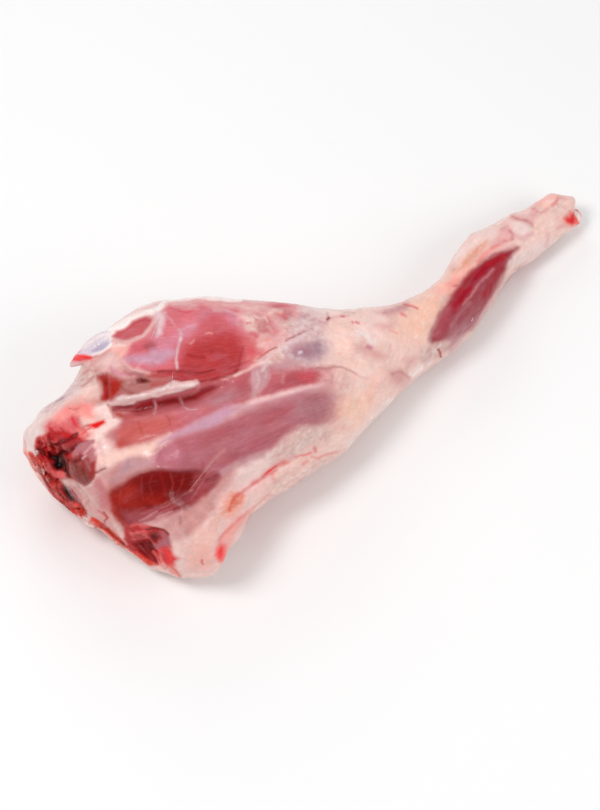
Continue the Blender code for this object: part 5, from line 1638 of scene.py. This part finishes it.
def joined(name: str, *parts: bpy.types.Object) -> bpy.types.Object:
    """Join objects into one.

    Args:
        name: the name of the piece.
        parts: the objects.

    Returns:
        The piece.
    """
    select_only(*parts)
    bpy.ops.object.join()
    piece = bpy.context.view_layer.objects.active
    piece.name = name
    piece.data.name = name
    return piece


def vertex_table(mesh: bpy.types.Mesh, name: str = "co") -> np.ndarray:
    """Read a mesh's vertices.

    Args:
        mesh: the mesh.
        name: co for the positions, or normal.

    Returns:
        Rows of x, y and z.
    """
    table = np.empty(len(mesh.vertices) * 3)
    mesh.vertices.foreach_get(name, table)
    return table.reshape(-1, 3)


def move_vertices(mesh: bpy.types.Mesh, points: np.ndarray) -> None:
    """Put a mesh's vertices at rows of x, y and z."""
    mesh.vertices.foreach_set("co", points.ravel())
    mesh.update()


def write_attribute(mesh: bpy.types.Mesh, name: str, kind: str, rows: np.ndarray) -> None:
    """Store a value on each of a mesh's vertices.

    Args:
        mesh: the mesh.
        name: the attribute's name.
        kind: FLOAT_COLOR for a colour, FLOAT_VECTOR for a vector or FLOAT for a number.
        rows: the values.
    """
    part = {"FLOAT_COLOR": "color", "FLOAT_VECTOR": "vector", "FLOAT": "value"}[kind]
    mesh.attributes.new(name, kind, "POINT").data.foreach_set(part, rows.ravel())


def write_tint(mesh: bpy.types.Mesh, colour: np.ndarray) -> None:
    """Store rows of red, green and blue as the colour that the finishes read."""
    rows = np.column_stack([np.clip(colour, 0, 1), np.ones(len(colour))])
    write_attribute(mesh, "tint", "FLOAT_COLOR", rows)


def place_in_frame(obj: bpy.types.Object, material: bpy.types.Material) -> None:
    """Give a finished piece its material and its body.

    Args:
        obj: the piece.
        material: its material.
    """
    obj.data.materials.clear()
    obj.data.materials.append(material)
    select_only(obj)
    bpy.ops.object.shade_smooth()
    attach(obj, BODY)
    log.info("%s: %d vertices", obj.name, len(obj.data.vertices))


@dataclass
class MeatSurface:
    """The meat: a fine skin over its solid, with relief and painted tissue.

    Heights are in millimetres. A span gives the values where a share starts and is full.
    """

    node: str = "leg_meat"
    bone_nodes: tuple[str, ...] = ("aitch_bone", "shank_bone")
    bone_share: float = 0.9
    voxel: float = 1.0 * MM
    smoothing: int = 8
    face_limit: int = 194000
    far_side: float = 0.0
    sole: float = 14 * MM
    floor_band: float = 6 * MM
    pocket_band: Span = (8 * MM, 16 * MM)
    relief_facing: Span = (0.0, 0.3)
    paint_facing: Span = (-0.12, 0.06)
    coarse_edge: float = 0.8
    fine_edge: float = 0.45
    torn_from: float = 0.01
    torn_depth: float = 1.5
    torn_level: float = 0.5
    torn_step: float = 1.2
    step_level: float = 0.6
    bundle_size: float = 5.0 * MM
    bundle_share: float = 0.3
    bundle_lean: tuple[float, float, float] = (0.35, 0.6, -0.2)
    bundle_bend: Span = (0.9, 0.55)
    bundle_numbers: float = 7.3
    # The roundness over which the painted shade in the cut's creases fades out
    crease_span: Span = (0.02, 0.6)
    scruff_height: float = 0.6
    fat_height: float = 0.35
    swell_height: float = 0.3
    softening: float = 0.35
    clump_span: Span = (0.05, 0.5)
    clump_share: float = 0.34
    # How much painted shade, a darker rose, fills the hollows between the clumps of scruffy fat
    hollow_shade_share: float = 0.22
    coarse_shade: float = 0.08
    fine_shade: float = 0.05
    back_muscle_span: Span = (0.05, 0.5)
    back_muscle_share: float = 0.75
    back_streak_span: Span = (0.1, 0.6)
    back_streak_share: float = 0.35
    fibre_spacing: float = 40.0
    calm_span: Span = (0.5, 8.0)
    obj: bpy.types.Object = field(init=False)
    coarse: np.ndarray = field(init=False)
    fine: np.ndarray = field(init=False)
    bend: np.ndarray = field(init=False)
    clumps: np.ndarray = field(init=False)

    def build(self) -> None:
        """Make the piece and set it in the frame."""
        self.obj = self._skin()
        points = vertex_table(self.obj.data)
        self.coarse = Pattern.COARSE.at(points)
        self.fine = Pattern.FINE.at(points)
        self.bend = BEND * np.column_stack([Pattern.SWAY_ACROSS.at(points), Pattern.SWAY_DOWN.at(points)])
        self.clumps = Pattern.CLUMPS.at(points)
        self._carve()
        self._settle()
        self._paint()
        place_in_frame(self.obj, MeatFinish().material())
        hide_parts(self.node)

    def _skin(self) -> bpy.types.Object:
        """Lay a fine closed skin over the meat, with the bones' sockets mostly filled.

        Returns:
            The skin.
        """
        copies = [node_copy(name, name + "_copy") for name in (self.node, *self.bone_nodes)]
        for bone in copies[1:]:
            middle = vertex_table(bone.data).mean(axis=0)
            shrink = Matrix.Scale(self.bone_share, 4)
            bone.data.transform(Matrix.Translation(middle) @ shrink @ Matrix.Translation(-middle))
        skin = joined("meat_surface", *copies)
        remeshed(skin, self.voxel, self.smoothing)
        self._thin_far_side(skin)
        self._pull(skin.data)
        return skin

    def _thin_far_side(self, skin: bpy.types.Object) -> None:
        """Use fewer faces where the skin lies away from the camera.

        Args:
            skin: the skin.
        """
        facing = SIGHT.facing(vertex_table(skin.data, "normal"))
        group = skin.vertex_groups.new(name="far_side")
        group.add([int(index) for index in np.flatnonzero(facing < self.far_side)], 1.0, "REPLACE")
        share = self.face_limit / sum(len(face.vertices) - 2 for face in skin.data.polygons)
        apply_modifier(skin, "DECIMATE", ratio=min(1.0, share), vertex_group="far_side")
        skin.vertex_groups.clear()

    @staticmethod
    def _pull(mesh: bpy.types.Mesh) -> None:
        """Bring the outline to its true shape.

        Args:
            mesh: the skin's mesh.
        """
        points = vertex_table(mesh)
        places = SIGHT.places(points)
        moves = sum(pull.moves(places) for pull in PULLS) * SIGHT.pixel
        right, up, _ = SIGHT.axes()
        points += moves[:, :1] * right - moves[:, 1:] * up
        points[:, 2] = np.maximum(points[:, 2], 0.0)
        move_vertices(mesh, points)

    def _settle(self) -> None:
        """Bring the underside down on the floor."""
        points = vertex_table(self.obj.data)
        lowest = points[:, 2].min()
        points[:, 2] -= lowest * (1 - eased(points[:, 2], lowest, self.sole))
        move_vertices(self.obj.data, points)

    @property
    def unevenness(self) -> np.ndarray:
        """How far the marks' edges are moved at each vertex, in pixels."""
        return self.coarse_edge * self.coarse + self.fine_edge * self.fine

    def _carve(self) -> None:
        """Move the skin by the fine relief, then soften its steps."""
        mesh = self.obj.data
        points = vertex_table(mesh)
        normals = vertex_table(mesh, "normal")
        places = SIGHT.places(points) + self.bend
        facing = eased(SIGHT.facing(normals), *self.relief_facing)
        tissue = self._lay_marks(points, places, facing)[1]
        heights = np.zeros(len(points))
        for rise in RISES:
            heights += rise.heights(places)
        for mark in MARKS:
            if mark.lift:
                near, share = mark.cover(places, self.unevenness)
                heights[near] += mark.lift * share
        torn = self._covered(places, (TORN,)) * facing
        roundness, number = self._bundles(points, torn > self.torn_from).T
        bundles = self.torn_depth * (roundness - self.torn_level)
        heights += torn * (bundles + self.torn_step * (number - self.step_level))
        heights += LUMPS.heights(places) * Pattern.LUMPS.at(points)
        heights += tissue[:, 3] * self.scruff_height * self.clumps
        heights += tissue[:, 0] * self.fat_height * Pattern.GREASE.at(points)
        heights *= facing
        heights += self.swell_height * Pattern.SWELL.at(points)
        floor = eased(points[:, 2], 0.0, self.floor_band)
        moved = points + normals * (heights * floor * MM)[:, None]
        moved[:, 2] = np.maximum(moved[:, 2], 0.0)
        move_vertices(mesh, moved)
        apply_modifier(self.obj, "SMOOTH", factor=self.softening, iterations=1)

    @staticmethod
    def _covered(places: np.ndarray, areas: tuple[Mark, ...]) -> np.ndarray:
        """Tell how much each place belongs to one of the areas.

        Args:
            places: rows of right and down in pixels.
            areas: the areas.

        Returns:
            One share a place, from 0 to 1.
        """
        share = np.zeros(len(places))
        for area in areas:
            near, cover = area.cover(places, np.zeros(len(places)))
            share[near] = np.maximum(share[near], cover)
        return share

    def _bundles(self, points: np.ndarray, wanted: np.ndarray) -> np.ndarray:
        """Torn bundles of meat as a pattern of stretched cells.

        Args:
            points: rows of x, y and z.
            wanted: where the pattern is worked out; it is 0 elsewhere.

        Returns:
            Rows of how round the bundle is there (0 in a crease, 1 on top) and its own number
            from 0 to 1.
        """
        right, up, forward = SIGHT.axes()
        rise, squash, slide = self.bundle_lean
        turn, sway = self.bundle_bend
        rows = np.zeros((len(points), 2))
        stretch = np.column_stack([right + rise * up, up * squash + right * slide, forward])
        for index in np.flatnonzero(wanted):
            where = Vector(points[index] @ stretch / self.bundle_size)
            where += noise.noise_vector(where * turn) * sway
            gaps, middles = noise.voronoi(where)
            roundness = 1 - (gaps[0] / max(gaps[1], 1e-6)) ** 2
            rows[index] = roundness, noise.cell(middles[0] * self.bundle_numbers) * 0.5 + 0.5
        return rows

    def _paint_cut(
        self, points: np.ndarray, places: np.ndarray, front: np.ndarray, colour: np.ndarray, cut: np.ndarray
    ) -> np.ndarray:
        """Give the torn bundles their own hues, and paint shade into the creases between them.

        Args:
            points: rows of x, y and z.
            places: the same points in the picture.
            front: how much each point belongs to the side that the camera sees.
            colour: the colours so far.
            cut: each point's share of cut meat.

        Returns:
            The new colours.
        """
        torn = self._covered(places, (TORN,)) * front * cut
        roundness, number = self._bundles(points, torn > self.torn_from).T
        hues = np.array([hue.linear() for hue in BUNDLE_HUES])
        chosen = hues[np.minimum((number * len(hues)).astype(int), len(hues) - 1)]
        share = (self.bundle_share * torn)[:, None]
        colour = colour * (1 - share) + chosen * share
        # Painted shade: the creases between the bundles are darkened
        crease = (torn * (1 - eased(roundness, *self.crease_span)))[:, None] * CREASE_SHADE
        return colour * (1 - crease)

    def _back(self, points: np.ndarray) -> tuple[np.ndarray, np.ndarray]:
        """Colour the side that lies away from the camera.

        Args:
            points: rows of x, y and z.

        Returns:
            Rows of red, green and blue, and rows of tissue.
        """
        muscle = eased(Pattern.BACK_PATCHES.at(points), *self.back_muscle_span)[:, None]
        streak = eased(Pattern.BACK_STREAKS.at(points), *self.back_streak_span)[:, None]
        share = muscle * self.back_muscle_share
        streak = self.back_streak_share * streak
        colour = Hue.CREAM_FAT.linear() * (1 - share) + Hue.PINK_MUSCLE.linear() * share
        colour = colour * (1 - streak) + Hue.WHITE_FAT.linear() * streak
        tissue = np.array(Tissue.FAT.value) * (1 - muscle) + np.array(Tissue.SKIN.value) * muscle
        return colour, tissue

    def _lay_marks(
        self, points: np.ndarray, places: np.ndarray, front: np.ndarray
    ) -> tuple[np.ndarray, np.ndarray]:
        """Colour and tissue of the skin with every mark laid on it.

        Args:
            points: rows of x, y and z.
            places: the same points in the picture.
            front: how much each point belongs to the side that the camera sees.

        Returns:
            Rows of red, green and blue, and rows of tissue.
        """
        colour, tissue = self._back(points)
        base = front[:, None]
        colour = colour * (1 - base) + Hue.CREAM_FAT.linear() * base
        tissue = tissue * (1 - base) + Hue.CREAM_FAT.tissue * base
        for mark in MARKS:
            near, share = mark.cover(places, self.unevenness)
            share = (mark.strength * share * front[near])[:, None]
            colour[near] += (mark.hue.linear() - colour[near]) * share
            tissue[near] += (mark.hue.tissue - tissue[near]) * share
        return colour, tissue

    def _paint(self) -> None:
        """Lay the marks on the skin, and store colour, tissue and grain on its vertices."""
        mesh = self.obj.data
        points = vertex_table(mesh)
        places = SIGHT.places(points) + self.bend
        pockets = self._covered(places, POCKETS) * eased(points[:, 2], *self.pocket_band)
        front = np.maximum(eased(SIGHT.facing(vertex_table(mesh, "normal")), *self.paint_facing), pockets)
        colour, tissue = self._lay_marks(points, places, front)
        scruff = tissue[:, 3]
        colour = self._paint_cut(points, places, front, colour, tissue[:, 2])
        clump = self.clump_share * (scruff * eased(self.clumps, *self.clump_span))[:, None]
        # Painted shade: the hollows between the clumps of scruffy fat are darkened towards rose
        hollow = self.hollow_shade_share * (scruff * eased(-self.clumps, *self.clump_span))[:, None]
        colour += (Hue.WHITE_FAT.linear() - colour) * clump
        colour += (Hue.ROSE_MUSCLE.linear() - colour) * hollow
        colour *= (1 + self.coarse_shade * self.coarse + self.fine_shade * self.fine)[:, None]
        grain, calm = self._grain(places)
        write_tint(mesh, colour)
        write_attribute(mesh, "tissue", "FLOAT_VECTOR", tissue[:, :3])
        write_attribute(mesh, "scruff", "FLOAT", scruff)
        write_attribute(mesh, "calm", "FLOAT", calm)
        write_attribute(mesh, "grain", "FLOAT_VECTOR", grain)

    def _grain(self, places: np.ndarray) -> tuple[np.ndarray, np.ndarray]:
        """Where each place lies along the fibres.

        Args:
            places: rows of right and down in pixels.

        Returns:
            Rows of how far along and across the nearest muscle's fibres, in millimetres, and a
            share that falls to 0 where two muscles' fibres meet.
        """
        best = np.full(len(places), np.inf)
        second = np.full(len(places), np.inf)
        rows = np.zeros((len(places), 3))
        for number, path in enumerate(FIBRES):
            gap, along, across = line_distance(places, path)
            nearer = gap < best
            second = np.where(nearer, best, np.minimum(second, gap))
            best = np.where(nearer, gap, best)
            table = np.column_stack([along, across, np.full(len(places), self.fibre_spacing * number)])
            rows = np.where(nearer[:, None], table * SIGHT.pixel / MM, rows)
        return rows, eased(second - best, *self.calm_span)


class Caster:
    """Finds the point of the meat's surface that shows at a place of the picture."""

    def __init__(self, surface: bpy.types.Object) -> None:
        """Index the surface's faces."""
        self.mesh = surface.data
        self.tree = BVHTree.FromObject(surface, bpy.context.evaluated_depsgraph_get())

    def tint(self, place: np.ndarray) -> np.ndarray:
        """Read the colour of the meat at a place.

        Args:
            place: right and down in pixels.

        Returns:
            Its red, green and blue.
        """
        face = self.tree.ray_cast(Vector(SIGHT.eye()), SIGHT.ray(place))[2]
        corner = self.mesh.polygons[face].vertices[0]
        return np.array(self.mesh.attributes["tint"].data[corner].color[:3])

    def hit(self, place: np.ndarray) -> tuple[Vector, Vector] | None:
        """The point and normal at a place, or None beside the leg."""
        point, normal, _, _ = self.tree.ray_cast(Vector(SIGHT.eye()), SIGHT.ray(place))
        return None if point is None else (point, normal)


@dataclass(frozen=True)
class Strand:
    """A strip that lies along the surface and tapers at both ends.

    Attributes:
        hue: its colour.
        width: its full width at the middle, in millimetres.
        height: its thickness, in millimetres.
        path: its points in pixels.
    """

    hue: Hue
    width: float
    height: float
    path: Places


WHITE_STRANDS = (
    Strand(Hue.FILM_PINK, 0.5, 0.3, ((173, 371), (172, 380), (170, 390))),
    Strand(Hue.FILM_PINK, 0.6, 0.3, ((160, 318), (156, 326), (153, 334), (151, 340))),
    Strand(Hue.FILM_PINK, 0.6, 0.3, ((155, 402), (156, 409), (154, 416))),
    Strand(Hue.FILM_PINK, 0.5, 0.2, ((182, 401), (184, 407), (190, 410), (199, 409))),
    Strand(Hue.ROSE_SKIN, 0.35, 0.2, ((220, 453), (208, 467), (196, 482), (188, 492))),
    # A painted highlight: a short white fleck that stands for a glint on the shank
    Strand(Hue.FILM_WHITE, 1.1, 0.5, ((473, 317), (471, 322))),
)


@dataclass
class StrandSet:
    """Several strands of one kind, joined into a piece.

    The step is in pixels, and all other measures but the wobble's size are shares.
    """

    name: str
    strands: tuple[Strand, ...]
    finish: StrandFinish
    caster: Caster
    slot: str = "leg_meat"
    sides: int = 10
    fewest_rings: int = 6
    step: float = 1.6
    sunk: float = 0.25
    wobble_size: float = 5 * MM
    wobble_offset: float = 3.1
    width_wobble: float = 0.45
    side_wobble: float = 0.35
    height_wobble: float = 0.4
    mottle: float = 0.12

    def build(self) -> None:
        """Make every strand, join them and set the piece in the frame."""
        made = [self._strand(number, strand) for number, strand in enumerate(self.strands)]
        place_in_frame(joined(self.name, *made), self.finish.material())

    def _strand(self, number: int, strand: Strand) -> bpy.types.Object:
        """Lay the rings of a ball along a strand's path over the surface.

        Args:
            number: the strand's number, which sets its wobble.
            strand: its measures.

        Returns:
            The strand.
        """
        hits = [self.caster.hit(place) for place in smooth_path(strand.path, self.step)]
        hits = [hit for hit in hits if hit]
        points = np.array([hit[0] for hit in hits])
        normals = np.array([hit[1] for hit in hits])
        tangents = np.gradient(points, axis=0)
        tangents /= np.linalg.norm(tangents, axis=1)[:, None]
        select_only()
        rings = max(self.fewest_rings, len(points))
        bpy.ops.mesh.primitive_uv_sphere_add(segments=self.sides, ring_count=rings, radius=1)
        ball = bpy.context.active_object
        local = vertex_table(ball.data)
        share = (1 - np.arccos(np.clip(local[:, 2], -1, 1)) / math.pi) * (len(points) - 1)
        first = np.minimum(share.astype(int), len(points) - 2)
        part = (share - first)[:, None]
        middle = points[first] * (1 - part) + points[first + 1] * part
        normal = normals[first] * (1 - part) + normals[first + 1] * part
        normal /= np.linalg.norm(normal, axis=1)[:, None]
        side = np.cross(normal, tangents[first])
        side /= np.linalg.norm(side, axis=1)[:, None]
        wobble = layered_noise(middle, self.wobble_size, 2, number * self.wobble_offset)
        fuller = np.sqrt(np.maximum(np.hypot(local[:, 0], local[:, 1]), 0.0001))
        across = local[:, 0] / fuller * strand.width / 2 * (1 + self.width_wobble * wobble)
        across += self.side_wobble * strand.width * wobble
        rise = local[:, 1] / fuller * strand.height / 2 * (1 + self.height_wobble * wobble)
        rise += self.sunk * strand.height
        move_vertices(ball.data, middle + side * (across * MM)[:, None] + normal * (rise * MM)[:, None])
        write_tint(ball.data, strand.hue.linear() * (1 + self.mottle * wobble)[:, None])
        return ball


@dataclass
class CutShreds:
    """The torn strips and lumps of meat that fill the cut at the butt.

    Ranges give the least and the most of what varies from shred to shred.
    """

    caster: Caster
    count: int = 34
    outline: Places = (
        (34, 452), (48, 456), (47, 466), (54, 482), (64, 500), (82, 512), (108, 534), (146, 558), (128, 550),
        (96, 530), (70, 510), (48, 486), (34, 466),
    )
    least_size: tuple[float, float, float] = (1.6, 0.8, 0.5)
    most_size: tuple[float, float, float] = (3.6, 1.5, 1.0)
    rough_size: float = 1.1
    rough_offsets: float = 40
    rough_height: float = 0.28
    rough_shade: float = 0.35
    bend: Span = (-0.4, 0.4)
    droop: float = 0.25
    tilt: Span = (-0.2, 0.2)
    lean: Span = (-0.6, 0.9)
    brightness: Span = (0.75, 1.15)
    clearance: float = 0.2 * MM

    def build(self) -> None:
        """Scatter the shreds, join them and set the piece in the frame."""
        dice = np.random.default_rng(SEED)
        low = np.min(self.outline, axis=0)
        high = np.max(self.outline, axis=0)
        made = []
        while len(made) < self.count:
            place = low + (high - low) * dice.random(2)
            spot = self.caster.hit(place) if inside_outline(place[None], self.outline)[0] else None
            if spot:
                made.append(self._shred(*spot, self.caster.tint(place), dice))
        finish = StrandFinish("torn_meat", ripple_size=1.6 * MM, roughness=0.28)
        place_in_frame(joined("cut_shreds", *made), finish.material())

    def _shred(
        self, point: Vector, normal: Vector, colour: np.ndarray, dice: np.random.Generator
    ) -> bpy.types.Object:
        """Make a shred: a small ball, stretched, flattened, bent and roughened.

        Args:
            point: where it lies.
            normal: the direction away from the meat there.
            colour: the colour of the meat there.
            dice: where its random measures come from.

        Returns:
            The shred.
        """
        select_only()
        bpy.ops.mesh.primitive_ico_sphere_add(subdivisions=3, radius=1)
        ball = bpy.context.active_object
        local = vertex_table(ball.data)
        length, width, thickness = dice.uniform(self.least_size, self.most_size) * MM
        rough = layered_noise(local + dice.random(3) * self.rough_offsets, self.rough_size, 2)
        local *= (1 + self.rough_height * rough)[:, None]
        bend = dice.uniform(*self.bend)
        local = local * (length, width, thickness)
        local[:, 1] += bend * local[:, 0] ** 2 / length
        local[:, 2] -= self.droop * local[:, 0] ** 2 / length
        lift = (normal + Vector(dice.uniform(*self.tilt, 3))).normalized()
        right, up, _ = SIGHT.axes()
        lean = Vector(up * -1 + right * dice.uniform(*self.lean))
        along = (lean - lift * lean.dot(lift)).normalized()
        turn = Matrix((along, lift.cross(along), lift)).transposed()
        placed = local @ np.array(turn).T + np.array(point)
        placed[:, 2] = np.maximum(placed[:, 2], self.clearance)
        move_vertices(ball.data, placed)
        brightness = dice.uniform(*self.brightness)
        write_tint(ball.data, colour * (brightness * (1 + self.rough_shade * rough))[:, None])
        return ball


@dataclass
class BoneEnd:
    """A bone end: its solid made fine, roughened and painted."""

    name: str
    node: str
    marks: tuple[Mark, ...]
    base: Hue
    bump_height: float = 0.25
    voxel: float = 0.5 * MM
    smoothing: int = 4
    roughness: float = 0.35
    ripple_size: float = 1.2 * MM

    def build(self) -> None:
        """Make the piece and set it in the frame."""
        piece = node_copy(self.node, self.name)
        remeshed(piece, self.voxel, self.smoothing)
        points = vertex_table(piece.data)
        uneven = Pattern.BONE_BUMPS.at(points)
        points = points + vertex_table(piece.data, "normal") * (self.bump_height * uneven * MM)[:, None]
        move_vertices(piece.data, points)
        places = SIGHT.places(points)
        colour = np.tile(self.base.linear(), (len(points), 1))
        for mark in self.marks:
            near, share = mark.cover(places, uneven)
            colour[near] += (mark.hue.linear() - colour[near]) * (mark.strength * share)[:, None]
        write_tint(piece.data, colour)
        finish = StrandFinish("wet_" + self.name, self.ripple_size, self.roughness)
        place_in_frame(piece, finish.material())
        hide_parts(self.node)


AITCH_MARKS = (
    line(Hue.WHITE_FAT, 1.6, (76, 353), (86, 345), (98, 337), (110, 333), edge=3, strength=0.8),
    patch(Hue.DARK_CARTILAGE, (92, 351), (99, 345), (107, 341), (110, 344), (104, 350), (96, 353), edge=2,
        strength=0.7),
    patch(Hue.BRIGHT_RED, (66, 359), (74, 354), (81, 352), (90, 356), (90, 360), (80, 362), (66, 362)),
    patch(Hue.PALE_PINK, (66, 364), (80, 363), (92, 361), (92, 368), (76, 372), (66, 372)),
    line(Hue.BLOOD, 1, (72, 359), (80, 360), (90, 358), strength=0.7),
)

SHANK_BONE_MARKS = (
    line(Hue.BRIGHT_RED, 2.6, (566, 214), (574, 218), (577, 224), strength=0.9),
    line(Hue.WHITE_FAT, 2, (576, 212), (579, 216), strength=0.9),
    line(Hue.BLOOD, 1, (574, 209), (580, 211), (583, 218), (581, 226), strength=0.9),
    line(Hue.PALE_SALMON, 2, (572, 230), (578, 226), edge=3, strength=0.8),
)


@dataclass(frozen=True)
class Lamp:
    """A soft square light that faces a point of the leg."""

    name: str
    place: tuple[float, float, float]
    size: float
    watts: float
    tint: tuple[float, float, float] = (1.0, 1.0, 1.0)

    def build(self) -> None:
        """Create the light."""
        data = bpy.data.lights.new(self.name, "AREA")
        data.size = self.size
        data.energy = self.watts
        data.color = self.tint
        lamp = bpy.data.objects.new(self.name, data)
        lamp.location = self.place
        lamp.rotation_euler = (-Vector(self.place)).to_track_quat("-Z", "Y").to_euler()
        bpy.context.scene.collection.objects.link(lamp)


@dataclass
class Studio:
    """The floor, the lights and the pale surroundings."""

    floor_size: float = 12.0
    world_strength: float = 0.52
    lamps: tuple[Lamp, ...] = (
        Lamp("key_light", (-0.7, 0.1, 1.4), 0.5, 9.5),
        Lamp("fill_light", (0.7, -1.1, 1.0), 1.0, 7.5),
        Lamp("rim_light", (0.3, 1.3, 0.9), 0.8, 3.5),
    )

    def build(self) -> None:
        """Create the floor, the lights and the world."""
        select_only()
        bpy.ops.mesh.primitive_plane_add(size=self.floor_size, location=(0, 0, 0))
        floor = bpy.context.active_object
        floor.name = "floor"
        floor.data.materials.append(FloorFinish().material())
        for lamp in self.lamps:
            lamp.build()
        world = bpy.data.worlds.new("pale_room")
        world.use_nodes = True
        inputs = world.node_tree.nodes["Background"].inputs
        inputs["Color"].default_value = (1.0, 1.0, 1.0, 1.0)
        inputs["Strength"].default_value = self.world_strength
        bpy.context.scene.world = world
        bpy.context.scene.view_settings.view_transform = "Standard"


def main() -> None:
    """Build the scene piece by piece."""
    logging.basicConfig(level=logging.INFO, format="%(message)s")
    noise.seed_set(SEED)
    SIGHT.add_camera()
    Studio().build()
    meat = MeatSurface()
    meat.build()
    caster = Caster(meat.obj)
    StrandSet("white_strands", WHITE_STRANDS, StrandFinish("wet_membrane"), caster).build()
    CutShreds(caster).build()
    BoneEnd("aitch_cartilage", "aitch_bone", AITCH_MARKS, Hue.CARTILAGE).build()
    BoneEnd("shank_knob", "shank_bone", SHANK_BONE_MARKS, Hue.BONE, bump_height=0.5).build()


if __name__ == "__main__":
    main()
